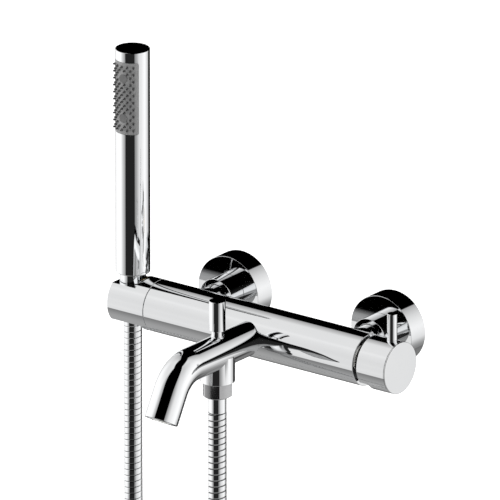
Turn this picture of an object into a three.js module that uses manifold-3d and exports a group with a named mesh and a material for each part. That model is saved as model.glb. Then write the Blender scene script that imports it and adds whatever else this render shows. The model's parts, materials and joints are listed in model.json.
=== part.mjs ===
// A wall mounted bath mixer with a fixed spout, a pull-up diverter and a hand shower on a hose.
// Millimetres. +X runs right along the wall, -Y comes out of the wall, +Z is up.
// The origin lies on the wall, midway between the two water supplies.

import * as THREE from "three";
import { mergeVertices } from "three/addons/utils/BufferGeometryUtils.js";
import Module from "manifold-3d";

const wasm = await Module();
wasm.setup();

// ---------------------------------------------------------------- driving dimensions

const GAP = 0.3; // between two pieces that touch

// The mixer body, a round bar along X.
const INLET_SPACING = 150;
const BODY_Y = -74.8;
const BODY_R = 20.9;
const BODY_LEFT = -136;
const BODY_RIGHT = 136;
const HOLDER_SEAM = -100.5;
const BODY_END = 104.8;
const KNOB_START = 108.3;
const BEVEL = 0.5;

// The handset, its holder and the hose that passes through it.
const HANDSET_X = -126;
const HANDSET_R = 13.7;
const HANDSET_BORE_R = 12;
const HANDSET_BOTTOM = 23.3;
const HANDSET_TOP = 208.8;
const HOLDER_TOP_FLAT = 15.5;
const HOLDER_BOTTOM_FLAT = -14.2;
const HOLDER_TOP_FLAT_END = -113;
const HOLDER_BOTTOM_FLAT_END = -107;
const SPRAY_BOTTOM = 141.1;
const SPRAY_TOP = 200.8;
const SPRAY_HALF_ANGLE = 58;
const HOSE_R = 7.25;

// The spout, its outlet boss and the diverter, which share the axis DIVERTER_Y.
const SPOUT_R = 13.5;
const SPOUT_BORE_R = 11;
const SPOUT_CORNER_Y = -183.4;
const SPOUT_BEND_R = 29;
const SPOUT_BEND_ANGLE = 60;
const SPOUT_TIP_LENGTH = 41.8; // from the corner of the axis to the tip
const DIVERTER_Y = -131.6;
const BOSS_R = 13.85;
const BOSS_BOTTOM = -23.7;
const PULL_KNOB_R = 6.5;
const PULL_KNOB_BOTTOM = 18.4;
const PULL_KNOB_TOP = 42.8;

// The wall connections.
const ROSETTE_R = 29.5;
const ROSETTE_DEPTH = 18.2;
const UNION_NUT_R = 15.5;
const UNION_NUT_FRONT = -34.5;
const STUB_R = 11;
const STUB_BORE_R = 7.6;
const ECCENTRIC_DROP = 7;
const WALL_THREAD_R = 10.48; // G 1/2
const WALL_THREAD_END = 22;

// The cartridge and the control knob.
const CHAMBER_R = 17.5;
const CHAMBER_FLOOR = 84;
const LEVER_PIVOT_X = 112;
const LEVER_PIN_X = 127.9;
const LEVER_PIN_R = 4;
const LEVER_PIN_TOP = 43.7;
const STEM_SIDE = 6;
const CAP_SEAM = 135;

// The hose, from the ferrule under the spout to a coil of one and a half turns in an upright plane.
const FERRULE_BOTTOM = -49.6;
const COIL_Z = -415;
const COIL_R = 75;
const COIL_HALF_WIDTH = 18.9;
const STRAP_WIDTH = 12;
const STRAP_THICK = 1.2;
const RIGHT_LEG = [
  [0, -131.6, FERRULE_BOTTOM - GAP],
  [0, -131.6, -90],
  [0, -131.6, -130],
  [0, -131.8, -170],
  [0.1, -132.6, -210],
  [0.2, -134.6, -250],
  [0.3, -137.8, -290],
  [0.5, -141.2, -330],
  [0.6, -143.6, -370],
  [0.6, -144.6, -390],
];
const LEFT_LEG = [
  [-126, -74.8, -15],
  [-126, -74.8, -50],
  [-126, -74.8, -90],
  [-126, -74.8, -130],
  [-126, -74.6, -170],
  [-126.1, -73.8, -210],
  [-126.2, -71.8, -250],
  [-126.3, -68.6, -290],
  [-126.5, -65.2, -330],
  [-126.6, -62.8, -370],
  [-126.6, -61.8, -390],
];

// ---------------------------------------------------------------- materials

const standard = (color, roughness, metalness) => () =>
  new THREE.MeshStandardMaterial({ color, roughness, metalness });
const chrome = standard(0xd9dbde, 0.06, 1);
const brass = standard(0xb08d4a, 0.35, 1);
const steel = standard(0xa9abad, 0.3, 1);
const satinSteel = standard(0x8f9193, 0.42, 1);
const rubber = standard(0x1a1a1a, 0.85, 0);
const silicone = standard(0x8c8f93, 0.6, 0);
const whitePlastic = standard(0xe4e2dc, 0.45, 0);
const ceramic = standard(0xf2efe8, 0.25, 0);
const strapFabric = standard(0x202226, 0.9, 0);

// ---------------------------------------------------------------- solids

const degrees = (angle) => (angle * Math.PI) / 180;

// Round pieces get as many sides as their size needs.
function sidesFor(radius) {
  if (radius > 18) return 32;
  if (radius > 12.5) return 24;
  if (radius > 7) return 18;
  if (radius > 3.5) return 12;
  return 8;
}

// A closed three.js geometry as a manifold-3d solid.
function solid(geometry) {
  const bare = geometry.clone();
  bare.deleteAttribute("normal");
  bare.deleteAttribute("uv");
  const merged = mergeVertices(bare, 1e-4);
  return new wasm.Manifold(
    new wasm.Mesh({
      numProp: 3,
      vertProperties: new Float32Array(merged.attributes.position.array),
      triVerts: new Uint32Array(merged.index.array),
    }),
  );
}

// A manifold-3d solid as a three.js geometry with flat shaded faces.
function geometryOf(made) {
  const mesh = made.getMesh();
  const indexed = new THREE.BufferGeometry();
  indexed.setAttribute("position", new THREE.BufferAttribute(mesh.vertProperties, 3));
  indexed.setIndex(new THREE.BufferAttribute(mesh.triVerts, 1));
  const flat = indexed.toNonIndexed();
  flat.computeVertexNormals();
  return flat;
}

// Turns a geometry made along +Y so that it runs along the named axis.
function along(axis, geometry) {
  if (axis === "x") geometry.rotateZ(-Math.PI / 2);
  if (axis === "z") geometry.rotateX(Math.PI / 2);
  return geometry;
}

// A turned piece: its profile is a list of [radius, distance along the axis], anticlockwise.
function turned(axis, profile, sides = 0) {
  const widest = Math.max(...profile.map(([radius]) => radius));
  const points = profile.map(([radius, distance]) => new THREE.Vector2(radius, distance));
  const lathe = new THREE.LatheGeometry(points, sides || sidesFor(widest));
  return solid(along(axis, lathe));
}

// A plain rod from one end to the other.
const rod = (axis, radius, from, to, sides) =>
  turned(axis, [[0, from], [radius, from], [radius, to], [0, to]], sides);

// A tube wall between two radii.
const sleeve = (axis, inner, outer, from, to) =>
  turned(axis, [[inner, from], [outer, from], [outer, to], [inner, to], [inner, from]]);

// A box from its lowest to its highest corner.
function block(low, high) {
  const size = high.map((value, i) => value - low[i]);
  const box = new THREE.BoxGeometry(...size);
  box.translate(...high.map((value, i) => (value + low[i]) / 2));
  return solid(box);
}

// A regular polygon, the cross-section of a swept piece.
function polygon(radius, sides) {
  const corner = (i) => degrees((i * 360) / sides);
  const points = Array.from({ length: sides }, (_, i) =>
    new THREE.Vector2(radius * Math.cos(corner(i)), radius * Math.sin(corner(i))));
  return new THREE.Shape(points);
}

// A round piece swept along a curve.
const swept = (curve, radius, steps, sides) =>
  solid(new THREE.ExtrudeGeometry(polygon(radius, sides), { extrudePath: curve, steps }));

// A slice of a round wall about +Z, centred on -Y.
function slice(inner, outer, halfAngle, from, to) {
  const shape = new THREE.Shape();
  const start = degrees(-90 - halfAngle);
  const end = degrees(-90 + halfAngle);
  shape.absarc(0, 0, outer, start, end, false);
  if (inner > 0) shape.absarc(0, 0, inner, end, start, true);
  else shape.lineTo(0, 0);
  shape.closePath();
  const options = { depth: to - from, bevelEnabled: false, curveSegments: 16 };
  const geometry = new THREE.ExtrudeGeometry(shape, options);
  geometry.translate(0, 0, from);
  return solid(geometry);
}

// Adds one named mesh to a group.
function add(group, name, made, material) {
  const mesh = new THREE.Mesh(geometryOf(made), material());
  mesh.name = name;
  group.add(mesh);
}

function groupAt(parent, x, y, z) {
  const group = new THREE.Group();
  group.position.set(x, y, z);
  parent.add(group);
  return group;
}

// The same rod at several [y, z] places, for drilling parallel holes along X.
const drills = (places, radius, from, to) =>
  places.map(([y, z]) => rod("x", radius, from, to, 12).translate(0, y, z));

const cut = (made, tools) => tools.reduce((left, tool) => left.subtract(tool), made);

const faucet = new THREE.Group();

// ---------------------------------------------------------------- mixer body

// Waterways as [y, z] from the body's axis: hot from the left, cold from the right, mixed to the spout.
const HOT_WAY = [6, -8];
const COLD_WAY = [6, 8];
const MIXED_WAY = [-9, 0];
const WAY_R = 5;
const SOCKET_R = 12.3;
const SOCKET_FLOOR = -80;

function addBody(parent) {
  const group = groupAt(parent, 0, BODY_Y, 0);
  const shell = turned("x", [
    [0, SOCKET_FLOOR],
    [SOCKET_R, SOCKET_FLOOR],
    [SOCKET_R, HOLDER_SEAM + GAP],
    [BODY_R, HOLDER_SEAM + GAP],
    [BODY_R, BODY_END - BEVEL],
    [BODY_R - BEVEL, BODY_END],
    [CHAMBER_R, BODY_END],
    [CHAMBER_R, CHAMBER_FLOOR],
    [0, CHAMBER_FLOOR],
  ]);
  const half = INLET_SPACING / 2;
  const tools = [
    ...drills([HOT_WAY], WAY_R, -half - 5, CHAMBER_FLOOR + 1),
    ...drills([COLD_WAY], WAY_R, half - 5, CHAMBER_FLOOR + 1),
    ...drills([MIXED_WAY], WAY_R, -6, CHAMBER_FLOOR + 1),
    rod("y", 7, 6, 30).translate(-half, 0, -3),
    rod("y", 6.5, 6, 30).translate(half, 0, 5),
    rod("y", 8, -30, -9),
  ];
  add(group, "body_tube", cut(shell, tools), chrome);

  // The spigot that the holder turns on, with a groove for the friction ring and one for the screw.
  const spigot = turned("x", [
    [0, -113.7],
    [12, -113.7],
    [12, -110.4],
    [10, -110.4],
    [10, -107.6],
    [12, -107.6],
    [12, -106.2],
    [10.2, -106.2],
    [10.2, -101.8],
    [12, -101.8],
    [12, SOCKET_FLOOR - GAP],
    [0, SOCKET_FLOOR - GAP],
  ]);
  add(group, "holder_connector", spigot, brass);
  add(group, "holder_friction_ring", turned("x", [
    [10.3, -110.1],
    [11.7, -110.1],
    [12.1, -109.5],
    [12.1, -108.5],
    [11.7, -107.9],
    [10.3, -107.9],
    [10.3, -110.1],
  ]), rubber);
}

// ---------------------------------------------------------------- handset holder

const SCREW_X = -104;
const SCREW_R = 1.8;
const HOLDER_BORE_TOP_R = 9.1;
const HOLDER_BORE_BOTTOM_R = 8.5;

function addHolder(parent) {
  const group = groupAt(parent, 0, BODY_Y, 0);
  const barrel = turned("x", [
    [0, BODY_LEFT],
    [BODY_R - BEVEL, BODY_LEFT],
    [BODY_R, BODY_LEFT + BEVEL],
    [BODY_R, HOLDER_SEAM],
    [SOCKET_R, HOLDER_SEAM],
    [SOCKET_R, -114],
    [0, -114],
  ]);
  const far = BODY_R + 5;
  const seat = turned("z", [
    [0, HOLDER_BOTTOM_FLAT - 1],
    [HOLDER_BORE_BOTTOM_R, HOLDER_BOTTOM_FLAT - 1],
    [HOLDER_BORE_TOP_R, HOLDER_TOP_FLAT + 1],
    [0, HOLDER_TOP_FLAT + 1],
  ]);
  const tools = [
    block([BODY_LEFT - 1, -far, HOLDER_TOP_FLAT], [HOLDER_TOP_FLAT_END, far, far]),
    block([BODY_LEFT - 1, -far, -far], [HOLDER_BOTTOM_FLAT_END, far, HOLDER_BOTTOM_FLAT]),
    seat.translate(HANDSET_X, 0, 0),
    rod("y", SCREW_R + GAP, 11, far).translate(SCREW_X, 0, 0),
  ];
  add(group, "handset_holder", cut(barrel, tools), chrome);
  add(group, "holder_grub_screw", rod("y", SCREW_R, 10.6, 18.5).translate(SCREW_X, 0, 0), steel);
}

// ---------------------------------------------------------------- handset and hose end

const SHOULDER_BOTTOM = HOLDER_TOP_FLAT + GAP;
const SHOULDER_TOP = HANDSET_BOTTOM - 0.4;
const CONE_BOTTOM = -2;
const THREAD_R = 9;

// The cone that stands in the holder's bore, and the hose's upper end inside it.
function addHoseEnd(parent) {
  const group = groupAt(parent, HANDSET_X, BODY_Y, 0);
  add(group, "hose_cone", turned("z", [
    [7.6, CONE_BOTTOM],
    [8.4, CONE_BOTTOM],
    [8.8, SHOULDER_BOTTOM],
    [10.4, SHOULDER_BOTTOM],
    [10.4, SHOULDER_TOP],
    [THREAD_R, SHOULDER_TOP],
    [THREAD_R, 33],
    [6.2, 33],
    [6.2, 4.5],
    [7.6, 4.5],
    [7.6, CONE_BOTTOM],
  ]), chrome);
  add(group, "hose_top_washer", sleeve("z", 6.4, 8.8, 33.3, 34.9), rubber);
  // Its lower end follows the holder's round envelope, so that it clears the hose below.
  const envelope = rod("x", BODY_R + 0.05, -20, 20);
  const upper = rod("z", HOSE_R, -30, 4.2);
  add(group, "hose_upper_end", upper.intersect(envelope), steel);
}

// The flexible face that fills the tube's window. Its nozzles are too fine for this model.
const sprayFace = () =>
  slice(10.9, HANDSET_R + 0.1, SPRAY_HALF_ANGLE - 1.4, SPRAY_BOTTOM + GAP, SPRAY_TOP - GAP);

function addHandset(parent) {
  const group = groupAt(parent, HANDSET_X, BODY_Y, 0);
  const shell = turned("z", [
    [HANDSET_BORE_R, HANDSET_BOTTOM],
    [HANDSET_R - BEVEL, HANDSET_BOTTOM],
    [HANDSET_R, HANDSET_BOTTOM + BEVEL],
    [HANDSET_R, HANDSET_TOP - 1],
    [HANDSET_R - 1, HANDSET_TOP],
    [HANDSET_BORE_R, HANDSET_TOP],
    [HANDSET_BORE_R, HANDSET_BOTTOM],
  ]);
  const window = slice(0, HANDSET_R + 4, SPRAY_HALF_ANGLE, SPRAY_BOTTOM, SPRAY_TOP);
  add(group, "handset_tube", shell.subtract(window), chrome);
  add(group, "handset_cap", rod("z", HANDSET_BORE_R - GAP, 203, HANDSET_TOP), chrome);
  add(group, "handset_connector", turned("z", [
    [THREAD_R + GAP, HANDSET_BOTTOM + GAP],
    [HANDSET_BORE_R - GAP, HANDSET_BOTTOM + GAP],
    [HANDSET_BORE_R - GAP, 42],
    [5.6, 42],
    [5.6, 38],
    [4, 38],
    [4, 35.2],
    [THREAD_R + GAP, 35.2],
    [THREAD_R + GAP, HANDSET_BOTTOM + GAP],
  ]), brass);
  add(group, "inner_water_pipe", sleeve("z", 4, 5.3, 38.3, 141), whitePlastic);

  const core = rod("z", HANDSET_BORE_R - GAP, 136, 202.6);
  const tools = [
    slice(0, 10.6, 70, 142, SPRAY_TOP - 1).translate(0, -1.5, 0),
    slice(0, 20, SPRAY_HALF_ANGLE + 1, SPRAY_BOTTOM - GAP, SPRAY_TOP + GAP).translate(0, -5, 0),
    rod("z", 5.6, 135, 144),
    block([-20, -20, SPRAY_BOTTOM - GAP], [20, -5.2, SPRAY_TOP + GAP]),
  ];
  add(group, "spray_chamber", cut(core, tools), whitePlastic);
  add(group, "spray_face", sprayFace(), silicone);
}

// ---------------------------------------------------------------- spout and diverter

const SEAT_TOP = -12.6;
const SEAT_BOTTOM = -15.5;
const BONNET_TOP = 18.1;
const SPINDLE_R = 2.5;

// The spout's axis: straight out of the body, round the bend, then straight to the tip.
function spoutAxis(startY, overrun) {
  const bend = degrees(SPOUT_BEND_ANGLE);
  const tangent = SPOUT_BEND_R * Math.tan(bend / 2);
  const down = new THREE.Vector3(0, -Math.cos(bend), -Math.sin(bend));
  const corner = new THREE.Vector3(0, SPOUT_CORNER_Y, 0);
  const bendStart = new THREE.Vector3(0, SPOUT_CORNER_Y + tangent, 0);
  const bendEnd = corner.clone().addScaledVector(down, tangent);
  const tip = corner.clone().addScaledVector(down, SPOUT_TIP_LENGTH + overrun);
  const path = new THREE.CurvePath();
  path.add(new THREE.LineCurve3(new THREE.Vector3(0, startY, 0), bendStart));
  const stops = 8;
  const arc = Array.from({ length: stops + 1 }, (_, i) => {
    const turn = (bend * i) / stops;
    return new THREE.Vector3(
      0,
      bendStart.y - SPOUT_BEND_R * Math.sin(turn),
      -SPOUT_BEND_R * (1 - Math.cos(turn)),
    );
  });
  path.add(new THREE.CatmullRomCurve3(arc, false, "centripetal"));
  path.add(new THREE.LineCurve3(bendEnd, tip));
  return path;
}

function addSpout(parent) {
  const bodyEnvelope = rod("x", BODY_R + GAP, -40, 40).translate(0, BODY_Y, 0);
  const boss = rod("z", BOSS_R, BOSS_BOTTOM, -2).translate(0, DIVERTER_Y, 0);
  const atDiverter = (made) => made.translate(0, DIVERTER_Y, 0);
  const tools = [
    bodyEnvelope,
    swept(spoutAxis(BODY_Y, 2), SPOUT_BORE_R, 15, 16),
    atDiverter(rod("z", 5.9, 5, 20)),
    atDiverter(rod("z", 9.8, SEAT_BOTTOM - GAP, 0)),
    atDiverter(rod("z", 6, -18, 0)),
    atDiverter(rod("z", 9, -30, -17.2)),
  ];
  const outer = swept(spoutAxis(BODY_Y, 0), SPOUT_R, 15, 24).add(boss);
  add(parent, "spout", cut(outer, tools), chrome);

  // The aerator sits just inside the tip, square to the spout's end.
  const bend = degrees(SPOUT_BEND_ANGLE);
  const tipY = SPOUT_CORNER_Y - SPOUT_TIP_LENGTH * Math.cos(bend);
  const tipZ = -SPOUT_TIP_LENGTH * Math.sin(bend);
  const tip = groupAt(parent, 0, tipY, tipZ);
  tip.rotation.x = bend - Math.PI / 2;
  add(tip, "aerator_housing", sleeve("z", 8.6, 10.6, 1, 10), chrome);
  const holes = [0, 60, 120, 180, 240, 300].map((angle) =>
    rod("z", 1.6, 0, 8, 8).translate(5 * Math.cos(degrees(angle)), 5 * Math.sin(degrees(angle)), 0));
  const centreHole = rod("z", 1.6, 0, 8, 8);
  add(tip, "aerator_insert", cut(rod("z", 8.2, 1.8, 6), [...holes, centreHole]), whitePlastic);
}

// The helix of the diverter's return spring.
function springWire(radius, from, to, turns) {
  const stops = turns * 8;
  const points = Array.from({ length: stops + 1 }, (_, i) => {
    const turn = (i / stops) * turns * 2 * Math.PI;
    const height = from + ((to - from) * i) / stops;
    return new THREE.Vector3(radius * Math.cos(turn), radius * Math.sin(turn), height);
  });
  return new THREE.CatmullRomCurve3(points);
}

function addDiverter(parent) {
  const group = groupAt(parent, 0, DIVERTER_Y, 0);
  add(group, "diverter_seat", sleeve("z", 5.5, 9.5, SEAT_BOTTOM, SEAT_TOP), brass);
  add(group, "diverter_bonnet", turned("z", [
    [2.8, 8.5],
    [5.6, 8.5],
    [5.6, 13],
    [4.8, 13.6],
    [4.8, BONNET_TOP],
    [2.8, BONNET_TOP],
    [2.8, 8.5],
  ]), chrome);
  add(group, "diverter_spindle", turned("z", [
    [0, -12],
    [SPINDLE_R, -12],
    [SPINDLE_R, -8.9],
    [5.2, -8.9],
    [5.2, -8.4],
    [SPINDLE_R, -8.4],
    [SPINDLE_R, 36],
    [0, 36],
  ]), steel);
  add(group, "diverter_valve_disc", sleeve("z", 2.8, 8.6, -10.9, -9.2), brass);
  add(group, "diverter_valve_seal", sleeve("z", 2.8, 8.4, -12.3, -11.2), rubber);
  add(group, "diverter_spring", swept(springWire(4.2, -7.4, 7.6, 5), 0.55, 40, 5), steel);
  add(group, "diverter_knob", turned("z", [
    [SPINDLE_R + GAP, PULL_KNOB_BOTTOM],
    [PULL_KNOB_R - 0.4, PULL_KNOB_BOTTOM],
    [PULL_KNOB_R, PULL_KNOB_BOTTOM + 0.4],
    [PULL_KNOB_R, PULL_KNOB_TOP - 0.4],
    [PULL_KNOB_R - 0.4, PULL_KNOB_TOP],
    [0, PULL_KNOB_TOP],
    [0, 36.3],
    [SPINDLE_R + GAP, 36.3],
    [SPINDLE_R + GAP, PULL_KNOB_BOTTOM],
  ]), chrome);
}

// ---------------------------------------------------------------- shower outlet

const NUT_TOP = -24;
const NUT_BOTTOM = -36.3;
const NUT_CORNER_R = 12.3;
const FERRULE_R = 7.15;

function addShowerOutlet(parent) {
  const group = groupAt(parent, 0, DIVERTER_Y, 0);
  add(group, "outlet_nipple", turned("z", [
    [5.5, -31],
    [9.2, -31],
    [9.2, NUT_TOP],
    [8.7, NUT_TOP],
    [8.7, -17.5],
    [5.5, -17.5],
    [5.5, -31],
  ]), brass);
  add(group, "shower_check_valve", sleeve("z", 2, 5.2, -30, -18.5), whitePlastic);
  add(group, "hose_nut_washer", sleeve("z", 5.6, 9.2, -32.6, -31.3), rubber);

  // A hexagon with its lower corners turned off.
  const hexagon = rod("z", NUT_CORNER_R, NUT_BOTTOM, NUT_TOP, 6).rotate([0, 0, 15]);
  const turnedOff = turned("z", [
    [0, NUT_BOTTOM],
    [10.2, NUT_BOTTOM],
    [12.5, NUT_BOTTOM + 1.6],
    [12.5, NUT_TOP],
    [0, NUT_TOP],
  ]);
  const nutBore = [rod("z", 9.5, -34.4, -20), rod("z", 7.5, -40, -20)];
  add(group, "hose_nut", cut(hexagon.intersect(turnedOff), nutBore), satinSteel);
  add(group, "hose_ferrule", turned("z", [
    [5.3, FERRULE_BOTTOM],
    [FERRULE_R, FERRULE_BOTTOM],
    [FERRULE_R, -34.1],
    [9.1, -34.1],
    [9.1, -32.9],
    [5.3, -32.9],
    [5.3, FERRULE_BOTTOM],
  ]), chrome);
}

// ---------------------------------------------------------------- shower hose

// The plane of the coil: u runs from the left leg to the right one, v is square to it, towards the wall.
const LEG_SPAN = new THREE.Vector2(-HANDSET_X, DIVERTER_Y - BODY_Y);
const COIL_TURN = Math.atan2(LEG_SPAN.y, LEG_SPAN.x);

function coilGroup(parent) {
  const group = groupAt(parent, HANDSET_X / 2, (DIVERTER_Y + BODY_Y) / 2, COIL_Z);
  group.rotation.z = COIL_TURN;
  return group;
}

function ringSolid(extra) {
  const inner = COIL_R - HOSE_R - extra;
  const outer = COIL_R + HOSE_R + extra;
  const half = COIL_HALF_WIDTH + extra;
  const edge = 4;
  return turned("y", [
    [inner, -half + edge],
    [inner + edge, -half],
    [outer - edge, -half],
    [outer, -half + edge],
    [outer, half - edge],
    [outer - edge, half],
    [inner + edge, half],
    [inner, half - edge],
    [inner, -half + edge],
  ]);
}

// A strap that goes round the strands of the coil at one place.
function strap(angle) {
  const slack = 0.9; // the strap is straight where the coil curves
  const inner = COIL_R - HOSE_R - slack;
  const outer = COIL_R + HOSE_R + GAP;
  const half = COIL_HALF_WIDTH + GAP;
  const outside = block(
    [inner - STRAP_THICK, -half - STRAP_THICK, -STRAP_WIDTH / 2],
    [outer + STRAP_THICK, half + STRAP_THICK, STRAP_WIDTH / 2],
  );
  const inside = block([inner, -half, -STRAP_WIDTH], [outer, half, STRAP_WIDTH]);
  return outside.subtract(inside).rotate([0, angle, 0]);
}

function addHose(parent) {
  const ring = ringSolid(GAP)
    .rotate([0, 0, (COIL_TURN * 180) / Math.PI])
    .translate(HANDSET_X / 2, (DIVERTER_Y + BODY_Y) / 2, COIL_Z);
  const holderEnvelope = rod("x", BODY_R + 0.35, -40, 40).translate(HANDSET_X, BODY_Y, 0);
  const legs = { hose_tube_right: RIGHT_LEG, hose_tube_left: LEFT_LEG };
  for (const [name, route] of Object.entries(legs)) {
    const points = route.map((point) => new THREE.Vector3(...point));
    const tube = swept(new THREE.CatmullRomCurve3(points), HOSE_R, 14, 10);
    add(parent, name, cut(tube, [ring, holderEnvelope]), steel);
  }
  const group = coilGroup(parent);
  add(group, "hose_coil", ringSolid(0), steel);
  add(group, "hose_tie_right", strap(30), strapFabric);
  add(group, "hose_tie_left", strap(150), strapFabric);
}

// ---------------------------------------------------------------- wall connections

function addInlet(parent, side, x) {
  const group = groupAt(parent, x, 0, 0);
  const stub = turned("y", [
    [STUB_BORE_R, -60],
    [STUB_R, -60],
    [STUB_R, -30.6],
    [12.8, -30.6],
    [12.8, -28],
    [STUB_BORE_R, -28],
    [STUB_BORE_R, -60],
  ]);
  const bodyEnvelope = rod("x", BODY_R + GAP, -20, 20).translate(0, BODY_Y, 0);
  add(group, "inlet_stub_" + side, stub.subtract(bodyEnvelope), chrome);
  add(group, "inlet_check_valve_" + side, sleeve("y", 4, STUB_BORE_R - GAP, -46, -30), whitePlastic);
  add(group, "inlet_washer_" + side, sleeve("y", 8, 12.6, -27.7, -25.9), rubber);
  add(group, "union_nut_" + side, turned("y", [
    [STUB_R + GAP, UNION_NUT_FRONT],
    [UNION_NUT_R - 0.4, UNION_NUT_FRONT],
    [UNION_NUT_R, UNION_NUT_FRONT + 0.4],
    [UNION_NUT_R, -ROSETTE_DEPTH - GAP],
    [13.6, -ROSETTE_DEPTH - GAP],
    [13.6, -30.9],
    [STUB_R + GAP, -30.9],
    [STUB_R + GAP, UNION_NUT_FRONT],
  ]), chrome);

  // The eccentric union: a wide thread for the nut, and a narrow one set lower for the wall.
  const wide = rod("y", 13.2, -25.6, -4);
  const narrow = rod("y", WALL_THREAD_R, -9, WALL_THREAD_END).translate(0, 0, -ECCENTRIC_DROP);
  const bores = [
    rod("y", 8, -30, -8),
    rod("y", 7, -10, 30).translate(0, 0, -ECCENTRIC_DROP),
  ];
  add(group, "s_union_" + side, cut(wide.add(narrow), bores), brass);
  add(group, "rosette_" + side, turned("y", [
    [13.6, -ROSETTE_DEPTH],
    [ROSETTE_R - 0.3, -ROSETTE_DEPTH],
    [ROSETTE_R, -ROSETTE_DEPTH + 0.3],
    [ROSETTE_R, 0],
    [ROSETTE_R - 1.6, 0],
    [ROSETTE_R - 1.6, -ROSETTE_DEPTH + 2],
    [13.6, -ROSETTE_DEPTH + 2],
    [13.6, -ROSETTE_DEPTH],
  ]), chrome);
}

// ---------------------------------------------------------------- cartridge

const PORTS = [HOT_WAY, COLD_WAY, MIXED_WAY];
const NECK_R = 9.6;
const CARRIER_R = 8.5;
const PIVOT_HOLE_R = 1.8;

function addCartridge(parent) {
  const group = groupAt(parent, 0, BODY_Y, 0);
  add(group, "cartridge_gasket", cut(rod("x", 16.8, 84.3, 85.9), drills(PORTS, 4.6, 80, 90)), rubber);
  const housing = turned("x", [
    [0, 86.2],
    [17.2, 86.2],
    [17.2, 96.8],
    [NECK_R, 96.8],
    [NECK_R, 106.4],
    [6.8, 106.4],
    [6.8, 95],
    [14.8, 95],
    [14.8, 88.5],
    [0, 88.5],
  ]);
  add(group, "cartridge_body", cut(housing, drills(PORTS, 3.6, 80, 90)), whitePlastic);
  add(group, "ceramic_disc_fixed", cut(rod("x", 14.4, 88.8, 91), drills(PORTS, 3.6, 80, 95)), ceramic);
  const pocket = block([90, -12, -7], [92.6, 5, 7]);
  add(group, "ceramic_disc_moving", rod("x", 13.6, 91.3, 93.5).subtract(pocket), ceramic);
  const wrenchSlots = block([101.6, -18, -1.5], [104, 18, 1.5]);
  const ring = sleeve("x", NECK_R + 0.4, 17.2, 97.1, 103.4).subtract(wrenchSlots);
  add(group, "cartridge_retaining_ring", ring, brass);

  // The carrier turns for temperature. The lever tilts on its pin between the carrier's two cheeks.
  const carrier = turned("x", [
    [0, 93.8],
    [13.6, 93.8],
    [13.6, 94.7],
    [6.5, 94.7],
    [6.5, 106.8],
    [CARRIER_R, 106.8],
    [CARRIER_R, 116],
    [0, 116],
  ]);
  const slotHalf = STEM_SIDE / 2 + GAP;
  const carrierTools = [
    block([107.5, -slotHalf, -20], [120, slotHalf, 20]),
    rod("y", PIVOT_HOLE_R, -20, 20, 16).translate(LEVER_PIVOT_X, 0, 0),
  ];
  add(group, "lever_carrier", cut(carrier, carrierTools), whitePlastic);
}

// ---------------------------------------------------------------- control knob

const KNOB_CAVITY_R = 11.5;
const CAP_RECESS_R = 16.3;
const CAP_RECESS_FLOOR = 131;
const NOTCH_TOP = -13;
const NOTCH_END = 116.8;

function addKnob(parent) {
  const group = groupAt(parent, 0, BODY_Y, 0);
  const barrel = turned("x", [
    [KNOB_CAVITY_R, KNOB_START],
    [BODY_R - BEVEL, KNOB_START],
    [BODY_R, KNOB_START + BEVEL],
    [BODY_R, CAP_SEAM - GAP],
    [CAP_RECESS_R, CAP_SEAM - GAP],
    [CAP_RECESS_R, CAP_RECESS_FLOOR],
    [0, CAP_RECESS_FLOOR],
    [0, 120],
    [KNOB_CAVITY_R, 120],
    [KNOB_CAVITY_R, KNOB_START],
  ]);
  const half = STEM_SIDE / 2;
  const notchRound = rod("y", 3, -30, 30, 16).translate(NOTCH_END - 1, 0, NOTCH_TOP - 3);
  const tools = [
    block([KNOB_START - 1, -30, -30], [NOTCH_END - 1, 30, NOTCH_TOP]),
    notchRound,
    block([NOTCH_END - 1, -30, -30], [NOTCH_END + 2, 30, NOTCH_TOP - 3]),
    block([115, -half - GAP, -half - GAP], [CAP_RECESS_FLOOR + 1, half + GAP, half + GAP]),
    rod("z", 3.3, 0, 30).translate(LEVER_PIN_X, 0, 0),
  ];
  add(group, "control_knob", cut(barrel, tools), chrome);
  add(group, "knob_cap", turned("x", [
    [0, CAP_RECESS_FLOOR + GAP],
    [CAP_RECESS_R - GAP, CAP_RECESS_FLOOR + GAP],
    [CAP_RECESS_R - GAP, CAP_SEAM],
    [BODY_R, CAP_SEAM],
    [BODY_R, BODY_RIGHT - BEVEL],
    [BODY_R - BEVEL, BODY_RIGHT],
    [0, BODY_RIGHT],
  ]), chrome);

  const bar = block([109, -half, -half], [CAP_RECESS_FLOOR, half, half]);
  const pivotHole = rod("y", PIVOT_HOLE_R, -20, 20, 16).translate(LEVER_PIVOT_X, 0, 0);
  add(group, "lever_stem", bar.subtract(pivotHole), brass);
  const pivotPin = rod("y", PIVOT_HOLE_R - GAP, -7.5, 7.5, 16).translate(LEVER_PIVOT_X, 0, 0);
  add(group, "lever_pivot_pin", pivotPin, steel);
  add(group, "lever_pin", turned("z", [
    [0, half + GAP],
    [3, half + GAP],
    [3, BODY_R + 0.2],
    [LEVER_PIN_R, BODY_R + 0.2],
    [LEVER_PIN_R, LEVER_PIN_TOP - 0.3],
    [LEVER_PIN_R - 0.3, LEVER_PIN_TOP],
    [0, LEVER_PIN_TOP],
  ]).translate(LEVER_PIN_X, 0, 0), chrome);
}

addBody(faucet);
addHolder(faucet);
addHoseEnd(faucet);
addHandset(faucet);
addSpout(faucet);
addDiverter(faucet);
addShowerOutlet(faucet);
addHose(faucet);
addInlet(faucet, "left", -INLET_SPACING / 2);
addInlet(faucet, "right", INLET_SPACING / 2);
addCartridge(faucet);
addKnob(faucet);

export default faucet;
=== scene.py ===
"""The looks of a wall mounted bath mixer with a hand shower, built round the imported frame.

Every piece is modelled in millimetres in the CAD's own frame and becomes metres in make_object().
+X runs right along the wall, -Y comes out of the wall and +Z is up.
"""

import json
import math

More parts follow.
